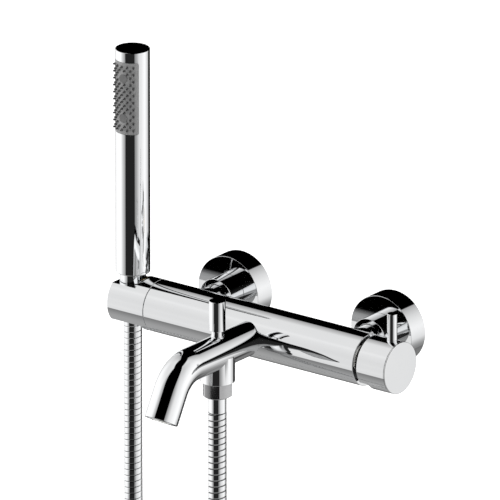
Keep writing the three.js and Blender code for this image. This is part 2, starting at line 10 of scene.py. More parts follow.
import bmesh
import bpy
import numpy as np
from mathutils import Matrix, Vector
from mathutils.kdtree import KDTree


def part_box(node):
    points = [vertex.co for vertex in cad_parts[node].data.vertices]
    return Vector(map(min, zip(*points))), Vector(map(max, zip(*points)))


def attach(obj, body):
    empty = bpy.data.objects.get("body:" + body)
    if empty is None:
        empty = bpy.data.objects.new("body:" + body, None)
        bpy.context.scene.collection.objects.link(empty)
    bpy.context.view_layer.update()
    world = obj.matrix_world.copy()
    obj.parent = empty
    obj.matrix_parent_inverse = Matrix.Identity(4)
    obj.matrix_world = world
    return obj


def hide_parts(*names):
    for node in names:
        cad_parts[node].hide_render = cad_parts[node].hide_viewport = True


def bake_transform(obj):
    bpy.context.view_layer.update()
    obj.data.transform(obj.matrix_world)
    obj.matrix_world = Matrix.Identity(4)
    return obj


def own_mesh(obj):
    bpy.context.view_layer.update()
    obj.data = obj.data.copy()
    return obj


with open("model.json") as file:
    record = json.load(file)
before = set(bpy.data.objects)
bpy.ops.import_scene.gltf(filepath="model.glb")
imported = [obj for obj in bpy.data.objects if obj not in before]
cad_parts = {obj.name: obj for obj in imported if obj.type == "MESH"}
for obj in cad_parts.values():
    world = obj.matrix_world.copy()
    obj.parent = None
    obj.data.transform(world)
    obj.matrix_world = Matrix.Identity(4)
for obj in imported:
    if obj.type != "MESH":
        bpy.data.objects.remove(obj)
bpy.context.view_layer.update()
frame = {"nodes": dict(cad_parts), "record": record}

MM = 0.001
GAP = 0.3  # between neighbouring pieces, as in the CAD


def box_mm(node):
    """The lowest and highest corner of a CAD node, in millimetres."""
    low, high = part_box(node)
    return low / MM, high / MM


# ---------------------------------------------------------------- sizes, from the frame where it has them

tube_low, tube_high = box_mm("body_tube")
BODY_Y = (tube_low.y + tube_high.y) / 2
BODY_R = (tube_high.z - tube_low.z) / 2
BODY_LEFT = box_mm("handset_holder")[0].x
HOLDER_SEAM = box_mm("handset_holder")[1].x
BODY_END = tube_high.x
KNOB_START = box_mm("control_knob")[0].x
CAP_SEAM = box_mm("control_knob")[1].x + GAP
BODY_RIGHT = box_mm("knob_cap")[1].x

handset_low, handset_high = box_mm("handset_tube")
HANDSET_X = (handset_low.x + handset_high.x) / 2
HANDSET_R = (handset_high.x - handset_low.x) / 2
HANDSET_BOTTOM = handset_low.z
HANDSET_TOP = handset_high.z
CONE_RISE = 17.5  # from the holder's upper flat to the end of the cone's thread
HOLDER_TOP_FLAT = box_mm("hose_cone")[1].z - CONE_RISE
HOLDER_BOTTOM_FLAT = -14.2
HOLDER_TOP_FLAT_END = -113
HOLDER_BOTTOM_FLAT_END = -107
SPRAY_LOW = box_mm("spray_face")[0].z - GAP
SPRAY_HIGH = box_mm("spray_face")[1].z + GAP
SPRAY_HALF_ANGLE = 58

knob_low, knob_high = box_mm("diverter_knob")
DIVERTER_Y = (knob_low.y + knob_high.y) / 2
PULL_KNOB_R = (knob_high.x - knob_low.x) / 2

# A point on the axis of the body, the handset and the diverter.
BODY_AXIS = (0, BODY_Y, 0)
HANDSET_AXIS = (HANDSET_X, BODY_Y, 0)
DIVERTER_AXIS = (0, DIVERTER_Y, 0)

SPOUT_R = 13.5
SPOUT_BORE_R = 11
SPOUT_CORNER_Y = -183.4
SPOUT_BEND_R = 29
SPOUT_BEND = math.radians(60)
SPOUT_TIP_LENGTH = 41.8
BOSS_R = 13.85
BOSS_BOTTOM = -23.7

INLET_X = 75
ROSETTE_R = 29.5
ROSETTE_FRONT = -18.2
SADDLE_GAP = 0.03  # between the body and what is shaped to sit on it

# The hose: its routes repeat the CAD's, and its coil is worked out below.
HOSE_R = 7.25
HOSE_PITCH = 5.0
COIL_Z = -415
COIL_R = 75
COIL_DRIFT = 11.6
COIL_TURNS = 1.5
RIGHT_LEG = [
    (0, -131.6, box_mm("hose_ferrule")[0].z - GAP),
    (0, -131.6, -90),
    (0, -131.6, -130),
    (0, -131.8, -170),
    (0.1, -132.6, -210),
    (0.2, -134.6, -250),
    (0.3, -137.8, -290),
    (0.5, -141.2, -330),
    (0.6, -143.6, -370),
    (0.6, -144.6, -390),
]
LEFT_LEG = [
    (-126, -74.8, -4),
    (-126, -74.8, -50),
    (-126, -74.8, -90),
    (-126, -74.8, -130),
    (-126, -74.6, -170),
    (-126.1, -73.8, -210),
    (-126.2, -71.8, -250),
    (-126.3, -68.6, -290),
    (-126.5, -65.2, -330),
    (-126.6, -62.8, -370),
    (-126.6, -61.8, -390),
]

SEGMENTS = 128
CORNER_STEPS = 4

# ---------------------------------------------------------------- materials


class Shader:
    """A small helper that builds one node material."""

    def __init__(self, name):
        self.material = bpy.data.materials.new(name)
        self.material.use_nodes = True
        self.nodes = self.material.node_tree.nodes
        self.links = self.material.node_tree.links
        self.surface = self.nodes["Principled BSDF"]
        self.place = self.nodes.new("ShaderNodeTexCoord").outputs["Object"]

    def set(self, **values):
        for name, value in values.items():
            self.surface.inputs[name.replace("_", " ")].default_value = value

    def noise(self, scale, detail=3.0, stretch=(1, 1, 1)):
        mapping = self.nodes.new("ShaderNodeMapping")
        mapping.inputs["Scale"].default_value = stretch
        self.links.new(self.place, mapping.inputs["Vector"])
        made = self.nodes.new("ShaderNodeTexNoise")
        made.inputs["Scale"].default_value = scale
        made.inputs["Detail"].default_value = detail
        self.links.new(mapping.outputs["Vector"], made.inputs["Vector"])
        return made.outputs["Fac"]

    def ramp(self, value, low, high):
        """Maps a 0 to 1 value to the range from low to high."""
        made = self.nodes.new("ShaderNodeMapRange")
        made.inputs["From Min"].default_value = 0.3
        made.inputs["From Max"].default_value = 0.7
        made.inputs["To Min"].default_value = low
        made.inputs["To Max"].default_value = high
        self.links.new(value, made.inputs["Value"])
        return made.outputs["Result"]

    def mix(self, value, dark, light):
        made = self.nodes.new("ShaderNodeMix")
        made.data_type = "RGBA"
        made.inputs["A"].default_value = (*dark, 1)
        made.inputs["B"].default_value = (*light, 1)
        self.links.new(value, made.inputs["Factor"])
        return made.outputs["Result"]

    def into(self, name, output):
        self.links.new(output, self.surface.inputs[name])

    def bump(self, height, strength, distance):
        made = self.nodes.new("ShaderNodeBump")
        made.inputs["Strength"].default_value = strength
        made.inputs["Distance"].default_value = distance
        self.links.new(height, made.inputs["Height"])
        self.into("Normal", made.outputs["Normal"])


def chrome():
    """Polished chrome plate: faint wiping haze and an almost flat polishing ripple."""
    shader = Shader("polished_chrome")
    shader.set(Metallic=1.0)
    haze = shader.noise(45, 4)
    shader.into("Base Color", shader.mix(haze, (0.90, 0.91, 0.92), (0.94, 0.945, 0.95)))
    shader.into("Roughness", shader.ramp(haze, 0.015, 0.045))
    shader.bump(shader.noise(220, 2), 0.02, 0.0001)
    return shader.material


def turned_steel(name, dark, light, low, high):
    """Bright or satin metal with fine marks round it."""
    shader = Shader(name)
    shader.set(Metallic=1.0)
    marks = shader.noise(400, 4, (0.3, 0.3, 3))
    shader.into("Base Color", shader.mix(shader.noise(60, 3), dark, light))
    shader.into("Roughness", shader.ramp(marks, low, high))
    shader.bump(marks, 0.08, 0.0001)
    return shader.material


def moulded(name, dark, light, low, high, scale=120.0, relief=0.1, shine=0.5):
    """Plastic, rubber, silicone or ceramic with a faint uneven tone and skin."""
    shader = Shader(name)
    shader.set(Specular_IOR_Level=shine)
    tone = shader.noise(scale, 4)
    shader.into("Base Color", shader.mix(tone, dark, light))
    shader.into("Roughness", shader.ramp(tone, low, high))
    shader.bump(shader.noise(scale * 12, 3), relief, 0.0001)
    return shader.material


def woven_strap():
    """Black woven hook and loop tape."""
    shader = Shader("woven_strap")
    weave = shader.nodes.new("ShaderNodeTexWave")
    weave.inputs["Scale"].default_value = 260
    weave.inputs["Distortion"].default_value = 1.2
    shader.links.new(shader.place, weave.inputs["Vector"])
    threads = weave.outputs["Fac"]
    shader.set(Sheen_Weight=0.4)
    shader.into("Base Color", shader.mix(threads, (0.012, 0.012, 0.014), (0.05, 0.05, 0.055)))
    shader.into("Roughness", shader.ramp(shader.noise(300, 3), 0.75, 0.95))
    shader.bump(threads, 0.4, 0.0003)
    return shader.material


CHROME = chrome()
HOSE_CHROME = turned_steel("hose_spiral", (0.84, 0.85, 0.86), (0.92, 0.925, 0.93), 0.05, 0.12)
SATIN = turned_steel("satin_nickel", (0.42, 0.42, 0.425), (0.52, 0.52, 0.525), 0.12, 0.2)
STEEL = turned_steel("drawn_steel", (0.58, 0.59, 0.6), (0.68, 0.69, 0.7), 0.2, 0.32)
BRASS = turned_steel("machined_brass", (0.68, 0.5, 0.22), (0.8, 0.62, 0.32), 0.22, 0.35)
RUBBER = moulded("black_rubber", (0.02, 0.02, 0.02), (0.05, 0.05, 0.05), 0.7, 0.9)
SILICONE = moulded("grey_silicone", (0.21, 0.21, 0.21), (0.26, 0.26, 0.26), 0.22, 0.3, 90, 0.05, 1.0)
NOZZLE = moulded("nozzle_silicone", (0.05, 0.05, 0.05), (0.08, 0.08, 0.08), 0.35, 0.5, 500, 0.1)
PAD = moulded("pad_silicone", (0.12, 0.12, 0.12), (0.15, 0.15, 0.15), 0.35, 0.45, 90, 0.1)
PLASTIC = moulded("white_plastic", (0.74, 0.73, 0.69), (0.84, 0.83, 0.79), 0.35, 0.5)
BLACK_PLASTIC = moulded("black_plastic", (0.012, 0.012, 0.012), (0.025, 0.025, 0.025), 0.4, 0.55)
CERAMIC = moulded("lapped_ceramic", (0.84, 0.82, 0.78), (0.9, 0.88, 0.85), 0.12, 0.22)
STRAP = woven_strap()

# The finish of each material slot of the record.
SLOT_MATERIAL = {
    "chrome": CHROME,
    "satin_metal": SATIN,
    "steel": STEEL,
    "metal_hose": HOSE_CHROME,
    "brass": BRASS,
    "rubber": RUBBER,
    "grey_silicone": SILICONE,
    "white_plastic": PLASTIC,
    "ceramic": CERAMIC,
    "black_plastic": BLACK_PLASTIC,
    "strap": STRAP,
}

NODE_SLOT = {part["node"]: part["material_slot"] for part in frame["record"]["subparts"]}
NODE_BODY = {
    node: body
    for body, members in frame["record"]["behaviour"]["bodies"].items()
    for node in members
}


def dress_cad_nodes():
    """Gives every CAD node the procedural finish of its slot."""
    for name, node in frame["nodes"].items():
        node.data.materials.clear()
        node.data.materials.append(SLOT_MATERIAL[NODE_SLOT[name]])


# ---------------------------------------------------------------- mesh tools

AXES = {
    "x": (Vector((0, 1, 0)), Vector((0, 0, 1)), Vector((1, 0, 0))),
    "y": (Vector((0, 0, 1)), Vector((1, 0, 0)), Vector((0, 1, 0))),
    "z": (Vector((1, 0, 0)), Vector((0, 1, 0)), Vector((0, 0, 1))),
}


# What the name of a piece that stands for a CAD node adds to the node's name.
FINE = "_fine"


def make_object(name, vertices, faces):
    """An object from vertices in millimetres, with its faces turned outwards."""
    mesh = bpy.data.meshes.new(name)
    scaled = np.array([tuple(vertex) for vertex in vertices]) * MM
    mesh.from_pydata(scaled.tolist(), [], faces)
    fixed = bmesh.new()
    fixed.from_mesh(mesh)
    bmesh.ops.remove_doubles(fixed, verts=fixed.verts, dist=1e-7)
    bmesh.ops.recalc_face_normals(fixed, faces=fixed.faces)
    fixed.to_mesh(mesh)
    fixed.free()
    made = bpy.data.objects.new(name + FINE if name in frame["nodes"] else name, mesh)
    bpy.context.scene.collection.objects.link(made)
    return made


def rounded(profile, closed):
    """The points of a profile, with an arc at each corner that gives a third number, its radius."""
    points = []
    for i, corner in enumerate(profile):
        here = Vector(corner[:2])
        if len(corner) == 2:
            points.append(here)
            continue
        before = Vector(profile[i - 1][:2])
        after = Vector(profile[(i + 1) % len(profile)][:2])
        back = min(corner[2], 0.49 * (before - here).length, 0.49 * (after - here).length)
        start = here + (before - here).normalized() * back
        end = here + (after - here).normalized() * back
        for step in range(CORNER_STEPS + 1):
            t = step / CORNER_STEPS
            points.append(start * (1 - t) ** 2 + here * 2 * t * (1 - t) + end * t**2)
    return points + points[:1] if closed else points


def circle(place, across, up, radius, sides):
    """Evenly spaced points on a circle round a place."""
    turns = [2 * math.pi * i / sides for i in range(sides)]
    return [place + across * radius * math.cos(turn) + up * radius * math.sin(turn) for turn in turns]


def ring_faces(rings, sides, start=0):
    """The quads between neighbouring rings of points, from the first ring's first point."""
    faces = []
    for ring in range(rings - 1):
        here = start + ring * sides
        for i in range(sides):
            after = (i + 1) % sides
            faces.append([here + i, here + after, here + sides + after, here + sides + i])
    return faces


def turned(name, axis, centre, profile, segments=SEGMENTS):
    """A turned piece: its profile is a list of (radius, distance along the axis[, corner radius]).

    A profile that starts and ends at radius 0 is solid, and any other closes on itself."""
    u, v, w = AXES[axis] if isinstance(axis, str) else axis
    closed = profile[0][0] > 0
    points = rounded(profile, closed)
    vertices = []
    for radius, distance in points:
        for i in range(segments):
            angle = 2 * math.pi * i / segments
            around = u * math.cos(angle) + v * math.sin(angle)
            vertices.append(Vector(centre) + around * radius + w * distance)
    faces = []
    for ring in range(len(points) - 1):
        for i in range(segments):
            after = (i + 1) % segments
            here = ring * segments
            up = here + segments
            quad = [here + i, here + after, up + after, up + i]
            if points[ring][0] == 0:
                quad = [here + i, up + after, up + i]
            if points[ring + 1][0] == 0:
                quad = [here + i, here + after, up + i]
            faces.append(quad)
    return make_object(name, vertices, faces)


def block(name, low, high):
    """A plain box, for cutting."""
    corners = [(x, y, z) for x in (low[0], high[0]) for y in (low[1], high[1]) for z in (low[2], high[2])]
    faces = [(0, 1, 3, 2), (4, 6, 7, 5), (0, 4, 5, 1), (2, 3, 7, 6), (0, 2, 6, 4), (1, 5, 7, 3)]
    return make_object(name, corners, faces)


def prism(name, outline, low, high, axis="y"):
    """An outline in the plane across an axis, stretched from low to high along it."""
    u, v, w = AXES[axis]
    count = len(outline)
    vertices = [u * a + v * b + w * low for a, b in outline]
    vertices += [u * a + v * b + w * high for a, b in outline]
    ends = [list(range(count)), list(range(count, 2 * count))]
    return make_object(name, vertices, ends + ring_faces(2, count))


def rod(name, axis, centre, radius, low, high, segments=64):
    return turned(name, axis, centre, [(0, low), (radius, low), (radius, high), (0, high)], segments)


def bake(piece):
    """Turns a piece's modifiers into its mesh."""
    bpy.context.view_layer.update()
    graph = bpy.context.evaluated_depsgraph_get()
    mesh = bpy.data.meshes.new_from_object(piece.evaluated_get(graph))
    piece.modifiers.clear()
    piece.data = mesh
    return piece


def combine(piece, operation, tools):
    """Joins tools to a piece or cuts them from it, and removes them."""
    for tool in tools:
        modifier = piece.modifiers.new("combine", "BOOLEAN")
        modifier.operation = operation
        modifier.solver = "EXACT"
        modifier.object = tool
    bake(piece)
    for tool in tools:
        bpy.data.objects.remove(tool)
    return piece


def cut(piece, *tools):
    return combine(piece, "DIFFERENCE", tools)


def join(piece, *tools):
    return combine(piece, "UNION", tools)


def smooth(piece, material, bevel=0.0, sharp=35):
    """Bevels and smooths a piece and gives it its material."""
    piece.data.materials.clear()
    piece.data.materials.append(material)
    piece.data.polygons.foreach_set("use_smooth", [True] * len(piece.data.polygons))
    if bevel:
        modifier = piece.modifiers.new("bevel", "BEVEL")
        modifier.width = bevel * MM
        modifier.segments = 2
        modifier.limit_method = "ANGLE"
        modifier.angle_limit = math.radians(sharp)
        bake(piece)
    piece.data.set_sharp_from_angle(angle=math.radians(sharp))
    weighted = piece.modifiers.new("weighted", "WEIGHTED_NORMAL")
    weighted.keep_sharp = True
    bake(piece)


def finish_piece(piece, bevel=0.0, sharp=35):
    """Smooths a piece and puts it in place of the CAD node that it is named after, with its finish."""
    node = piece.name.removesuffix(FINE)
    smooth(piece, SLOT_MATERIAL[NODE_SLOT[node]], bevel, sharp)
    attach(piece, NODE_BODY[node])
    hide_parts(node)


def finish_detail(piece, material, body, sharp=35):
    """Smooths a piece that no CAD node stands for and makes it ride on a body."""
    smooth(piece, material, sharp=sharp)
    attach(piece, body)


# ---------------------------------------------------------------- mixer body

BODY_BEVEL = 0.5
SEAM_BEVEL = 0.45
SOCKET_R = 12.3
CHAMBER_R = 17.5
CHAMBER_FLOOR = 84


def make_body():
    shell = turned("body_tube", "x", BODY_AXIS, [
        (0, -80), (SOCKET_R, -80), (SOCKET_R, HOLDER_SEAM + GAP),
        (BODY_R, HOLDER_SEAM + GAP, SEAM_BEVEL), (BODY_R, BODY_END, BODY_BEVEL),
        (CHAMBER_R, BODY_END, 0.3), (CHAMBER_R, CHAMBER_FLOOR), (0, CHAMBER_FLOOR),
    ], 192)
    # The hot, cold and mixed waterways inside, and the holes that lead into them.
    cut(
        shell,
        rod("hot", "x", (0, BODY_Y + 6, -8), 5, -80, 85),
        rod("cold", "x", (0, BODY_Y + 6, 8), 5, 70, 85),
        rod("mixed", "x", (0, BODY_Y - 9, 0), 5, -6, 85),
        rod("to_spout", "y", BODY_AXIS, 8, -30, -9),
        rod("from_hot", "y", (-INLET_X, BODY_Y, -3), 7, 6, 30),
        rod("from_cold", "y", (INLET_X, BODY_Y, 5), 6.5, 6, 30),
    )
    finish_piece(shell)


def make_holder():
    """The left end of the bar, milled flat above and below, with the tapered seat for the cone."""
    barrel = turned("handset_holder", "x", BODY_AXIS, [
        (0, BODY_LEFT), (BODY_R, BODY_LEFT, BODY_BEVEL), (BODY_R, HOLDER_SEAM, SEAM_BEVEL),
        (SOCKET_R, HOLDER_SEAM), (SOCKET_R, -114), (0, -114),
    ], 192)
    far = BODY_R + 5
    left = BODY_LEFT - 1
    seat = turned("seat", "z", HANDSET_AXIS, [
        (0, HOLDER_BOTTOM_FLAT - 2), (8.45, HOLDER_BOTTOM_FLAT - 2), (9.1, HOLDER_TOP_FLAT + 2),
        (0, HOLDER_TOP_FLAT + 2),
    ], 96)
    cut(
        barrel,
        block("top", (left, BODY_Y - far, HOLDER_TOP_FLAT), (HOLDER_TOP_FLAT_END, BODY_Y + far, far)),
        block("base", (left, BODY_Y - far, -far), (HOLDER_BOTTOM_FLAT_END, BODY_Y + far, HOLDER_BOTTOM_FLAT)),
        seat,
        rod("screw_hole", "y", (-104, BODY_Y, 0), 2.1, 11, far),
    )
    finish_piece(barrel, bevel=0.25)


# ---------------------------------------------------------------- handset

WINDOW_CORNER_R = 1.8
WINDOW_GAP = 0.22
WINDOW_CORNER_STEPS = 8
WINDOW_COLUMNS = 41


def window_block(name, inset, inner, outer):
    """A block of the spray window's rounded outline, wrapped round the handset and drawn in by inset."""
    half = math.radians(SPRAY_HALF_ANGLE) * HANDSET_R - inset
    low = SPRAY_LOW + inset
    high = SPRAY_HIGH - inset
    corner = WINDOW_CORNER_R - inset
    # Columns across the window, close together at its round corners.
    turns = [math.radians(90 * step / WINDOW_CORNER_STEPS) for step in range(WINDOW_CORNER_STEPS + 1)]
    round_part = [corner * (1 - math.cos(turn)) for turn in turns]
    level_part = np.linspace(corner, 2 * half - corner, WINDOW_COLUMNS)[1:-1]
    columns = [*round_part, *level_part, *(2 * half - share for share in reversed(round_part))]
    vertices = []
    for column in columns:
        from_side = min(column, 2 * half - column, corner)
        drop = corner - math.sqrt(corner**2 - (corner - from_side) ** 2)
        angle = (column - half) / HANDSET_R
        for radius in (inner, outer):
            x = HANDSET_X + radius * math.sin(angle)
            y = BODY_Y - radius * math.cos(angle)
            vertices += [(x, y, low + drop), (x, y, high - drop)]
    faces = [(0, 1, 3, 2)]
    for column in range(len(columns) - 1):
        a = 4 * column
        faces += [(a, a + 4, a + 5, a + 1), (a + 2, a + 3, a + 7, a + 6)]
        faces += [(a, a + 2, a + 6, a + 4), (a + 1, a + 5, a + 7, a + 3)]
    last = 4 * (len(columns) - 1)
    faces.append((last, last + 2, last + 3, last + 1))
    return make_object(name, vertices, faces)


HANDSET_LOWER_EDGE = 0.95  # its rounding
HANDSET_WALL_R = 12  # the inside of its wall
HANDSET_CAP_R = 11.97
HANDSET_CAP_LOW = 203
FACE_INNER_R = 10.9
FACE_RISE = 0.1  # how far the face stands out from the tube
FACE_INSET = 0.1  # at the face's ends, before the window's outline trims it


def make_handset():
    tube = turned("handset_tube", "z", HANDSET_AXIS, [
        (HANDSET_WALL_R, HANDSET_BOTTOM), (HANDSET_R, HANDSET_BOTTOM, HANDSET_LOWER_EDGE),
        (HANDSET_R, HANDSET_TOP, 0.5), (HANDSET_WALL_R, HANDSET_TOP),
    ], 192)
    finish_piece(cut(tube, window_block("window", 0, 8, 20)), bevel=0.15)
    cap = rod("handset_cap", "z", HANDSET_AXIS, HANDSET_CAP_R, HANDSET_CAP_LOW, HANDSET_TOP, SEGMENTS)
    finish_piece(cap)

    low = SPRAY_LOW + FACE_INSET
    high = SPRAY_HIGH - FACE_INSET
    outer = HANDSET_R + FACE_RISE
    outline = [(FACE_INNER_R, low), (outer, low), (outer, high), (FACE_INNER_R, high)]
    face = turned("spray_face", "z", HANDSET_AXIS, outline, 192)
    combine(face, "INTERSECT", [window_block("face_edge", WINDOW_GAP, 9, 18)])
    finish_piece(face, bevel=0.3)
    make_nozzles()
    make_face_discs()


NOZZLE_PITCH = 5.8
NOZZLE_COLUMNS = 9
NOZZLE_STEP = 10  # degrees from one column to the next
NOZZLE_ROWS = 10
NOZZLE_SIDES = 20
DISC_TURN = 4.5
DISC_R = 3.6
DISC_MARGIN = 1.2  # kept free of nozzles round a disc
DISC_HEIGHTS = (187.5, 154.5)
# Radius and rise of a nozzle, from its root to the bottom of its hole.
NOZZLE_PROFILE = [
    (1.1, -0.4), (1.0, 0.3), (0.78, 1.1), (0.74, 1.9), (0.42, 2.0), (0.34, 1.8), (0.3, 0.6), (0, 0.6),
]


def radial(angle):
    """The directions across, up and out at an angle in degrees round the handset from the front."""
    turn = math.radians(angle)
    out = Vector((math.sin(turn), -math.cos(turn), 0))
    across = Vector((math.cos(turn), math.sin(turn), 0))
    return across, Vector((0, 0, 1)), out


def make_nozzles():
    """Every rubber jet of the spray face, in columns that are set off by half a pitch."""
    vertices, faces = [], []
    middle = (NOZZLE_COLUMNS - 1) / 2
    centre_z = (SPRAY_LOW + SPRAY_HIGH) / 2
    for column in range(NOZZLE_COLUMNS):
        angle = (column - middle) * NOZZLE_STEP
        across, up, out = radial(angle)
        across_mm = math.radians(angle - DISC_TURN) * HANDSET_R
        shift = (column % 2) * NOZZLE_PITCH / 2
        for row in range(NOZZLE_ROWS - column % 2):
            height = centre_z + (row - (NOZZLE_ROWS - 1) / 2) * NOZZLE_PITCH + shift
            if any(math.hypot(across_mm, height - z) < DISC_R + DISC_MARGIN for z in DISC_HEIGHTS):
                continue
            base = Vector((HANDSET_X, BODY_Y, height)) + out * HANDSET_R
            start = len(vertices)
            for radius, rise in NOZZLE_PROFILE:
                ring = circle(base, across, up, radius, NOZZLE_SIDES)
                vertices += [point + out * rise for point in ring]
            faces += ring_faces(len(NOZZLE_PROFILE), NOZZLE_SIDES, start)
            faces.append([start + i for i in range(NOZZLE_SIDES)])
    piece = make_object("spray_nozzles", vertices, faces)
    finish_detail(piece, NOZZLE, "handset", sharp=50)


def make_face_discs():
    """Two smooth round pads on the spray face."""
    for name, height in zip(("spray_pad_upper", "spray_pad_lower"), DISC_HEIGHTS):
        axis = radial(DISC_TURN)
        centre = Vector((HANDSET_X, BODY_Y, height)) + axis[2] * HANDSET_R
        pad = turned(name, axis, centre, [(0, -0.6), (DISC_R, -0.6), (DISC_R, 0.3, 0.3), (0, 0.3)], 48)
        finish_detail(pad, PAD, "handset")


CONE_GAP = 0.1  # between the cone and the handset that turns on it


def make_hose_cone():
    shoulder = HOLDER_TOP_FLAT + GAP
    thread_end = HOLDER_TOP_FLAT + CONE_RISE
    cone = turned("hose_cone", "z", HANDSET_AXIS, [
        (7.6, -2), (8.4, -2, 0.3), (8.8, shoulder), (10.4, shoulder, 0.4),
        (10.4, HANDSET_BOTTOM - CONE_GAP, 0.3), (9, HANDSET_BOTTOM - CONE_GAP), (9, thread_end),
        (6.2, thread_end), (6.2, 4.5), (7.6, 4.5),
    ])
    finish_piece(cone)


# ---------------------------------------------------------------- spout

BEND_STEPS = 48
TIP_EDGE = 0.12  # the small chamfer round the tip


def spout_stations(start_y, overrun):
    """Points and directions along the spout's axis: straight, round the bend, then to the tip."""
    setback = SPOUT_BEND_R * math.tan(SPOUT_BEND / 2)
    bend_y = SPOUT_CORNER_Y + setback
    ahead = Vector((0, -1, 0))
    down = Vector((0, -math.cos(SPOUT_BEND), -math.sin(SPOUT_BEND)))
    stations = [(Vector((0, start_y, 0)), ahead)]
    for step in range(BEND_STEPS + 1):
        turn = SPOUT_BEND * step / BEND_STEPS
        place = Vector((0, bend_y - SPOUT_BEND_R * math.sin(turn), SPOUT_BEND_R * (math.cos(turn) - 1)))
        stations.append((place, Vector((0, -math.cos(turn), -math.sin(turn)))))
    tip = Vector((0, SPOUT_CORNER_Y, 0)) + down * (SPOUT_TIP_LENGTH + overrun)
    stations.append((tip, down))
    return stations


def swept(name, stations, radii, segments=SEGMENTS):
    """A round piece along stations, closed at both ends."""
    across = Vector((1, 0, 0))
    vertices = []
    for (place, ahead), radius in zip(stations, radii):
        vertices += circle(place, across, across.cross(ahead), radius, segments)
    ends = [list(range(segments)), list(range(len(vertices) - segments, len(vertices)))]
    return make_object(name, vertices, ends + ring_faces(len(radii), segments))


def make_spout():
    outer = spout_stations(BODY_Y - 12, -TIP_EDGE)
    tip, down = outer[-1]
    outer.append((tip + down * TIP_EDGE, down))
    spout = swept("spout", outer, [SPOUT_R] * (len(outer) - 1) + [SPOUT_R - TIP_EDGE])
    outline = [(0, BOSS_BOTTOM), (BOSS_R, BOSS_BOTTOM, 0.4), (BOSS_R, -2), (0, -2)]
    boss = turned("boss", "z", DIVERTER_AXIS, outline)
    join(spout, boss)
    inner = spout_stations(BODY_Y - 10, 2)
    cut(
        spout,
        swept("bore", inner, [SPOUT_BORE_R] * len(inner), 96),
        rod("body", "x", BODY_AXIS, BODY_R + SADDLE_GAP, -40, 40, 192),
        rod("bonnet_hole", "z", DIVERTER_AXIS, 5.9, 5, 20),
        rod("seat_hole", "z", DIVERTER_AXIS, 9.8, -15.8, 0),
        rod("through", "z", DIVERTER_AXIS, 6, -18, 0),
        rod("outlet", "z", DIVERTER_AXIS, 9, -30, -17.2),
    )
    finish_piece(spout)
    make_aerator(outer[-1][0], down)


AERATOR_RING_R = 10.6
AERATOR_HOLE_R = 0.9
# The rings of holes round the middle one: radius and how many.
AERATOR_HOLES = ((3.2, 6), (6.2, 12))


def make_aerator(tip, down):
    """A turned ring with a white insert, just inside the spout's tip."""
    across = Vector((1, 0, 0))
    axis = (across, across.cross(-down), -down)
    ring = turned("aerator_housing", axis, tip, [
        (8.6, 1, 0.3), (AERATOR_RING_R, 1, 0.4), (AERATOR_RING_R, 10), (8.6, 10),
    ])
    finish_piece(ring)
    insert = turned("aerator_insert", axis, tip, [(0, 1.8), (8.2, 1.8, 0.3), (8.2, 6), (0, 6)])
    holes = [(0, 0)]
    for radius, count in AERATOR_HOLES:
        holes += [(radius, 2 * math.pi * i / count) for i in range(count)]
    tools = []
    for radius, turn in holes:
        place = tip + axis[0] * radius * math.cos(turn) + axis[1] * radius * math.sin(turn)
        tools.append(rod("hole", axis, place, AERATOR_HOLE_R, 0, 8, 20))
    finish_piece(cut(insert, *tools))


# ---------------------------------------------------------------- diverter and shower outlet


def make_diverter():
    bonnet_top = box_mm("diverter_bonnet")[1].z
    bonnet = turned("diverter_bonnet", "z", DIVERTER_AXIS, [
        (2.8, 8.5), (5.6, 8.5), (5.6, 13, 0.2), (4.8, 13.6, 0.2), (4.8, bonnet_top, 0.3),
        (2.8, bonnet_top, 0.2),
    ], 96)
    finish_piece(bonnet)
    spindle = turned("diverter_spindle", "z", DIVERTER_AXIS, [
        (0, -12), (2.5, -12, 0.3), (2.5, -8.9), (5.2, -8.9, 0.1), (5.2, -8.4, 0.1), (2.5, -8.4),
        (2.5, 36, 0.3), (0, 36),
    ], 64)
    finish_piece(spindle)
    bottom, top = knob_low.z, knob_high.z
    knob = turned("diverter_knob", "z", DIVERTER_AXIS, [
        (0, top), (PULL_KNOB_R, top, 0.4), (PULL_KNOB_R, bottom, 0.4), (2.8, bottom), (2.8, 36.3),
        (0, 36.3),
    ], 96)
    finish_piece(knob)


SPRING_R = 4.2
SPRING_WIRE_R = 0.55
SPRING_LOW = -7.4
SPRING_HIGH = 7.6
SPRING_TURNS = 5
SPRING_STEPS = 48  # in each turn
SPRING_SIDES = 16


def make_diverter_spring():
    """The return spring, whose upper end is fixed; it is built here at one length."""
    sides = SPRING_SIDES
    steps = SPRING_TURNS * SPRING_STEPS
    climb = (SPRING_HIGH - SPRING_LOW) / steps
    slope = climb * SPRING_STEPS / (2 * math.pi * SPRING_R)
    vertices = []
    for step in range(steps + 1):
        turn = 2 * math.pi * step / SPRING_STEPS
        out = Vector((math.cos(turn), math.sin(turn), 0))
        ahead = Vector((-out.y, out.x, slope)).normalized()
        place = Vector((0, DIVERTER_Y, SPRING_LOW + climb * step)) + out * SPRING_R
        for i in range(sides):
            bend = 2 * math.pi * i / sides
            aside = out * math.cos(bend) + ahead.cross(out) * math.sin(bend)
            vertices.append(place + aside * SPRING_WIRE_R)
    faces = ring_faces(steps + 1, sides)
    faces += [list(range(sides)), list(range(steps * sides, (steps + 1) * sides))]
    spring = make_object("diverter_spring", vertices, faces)
    finish_piece(spring)
    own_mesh(spring)


NUT_CORNER_R = 12.3
NUT_CROWN = 0.7  # how far the middle of each side stands out
NUT_SIDE_STEPS = 12


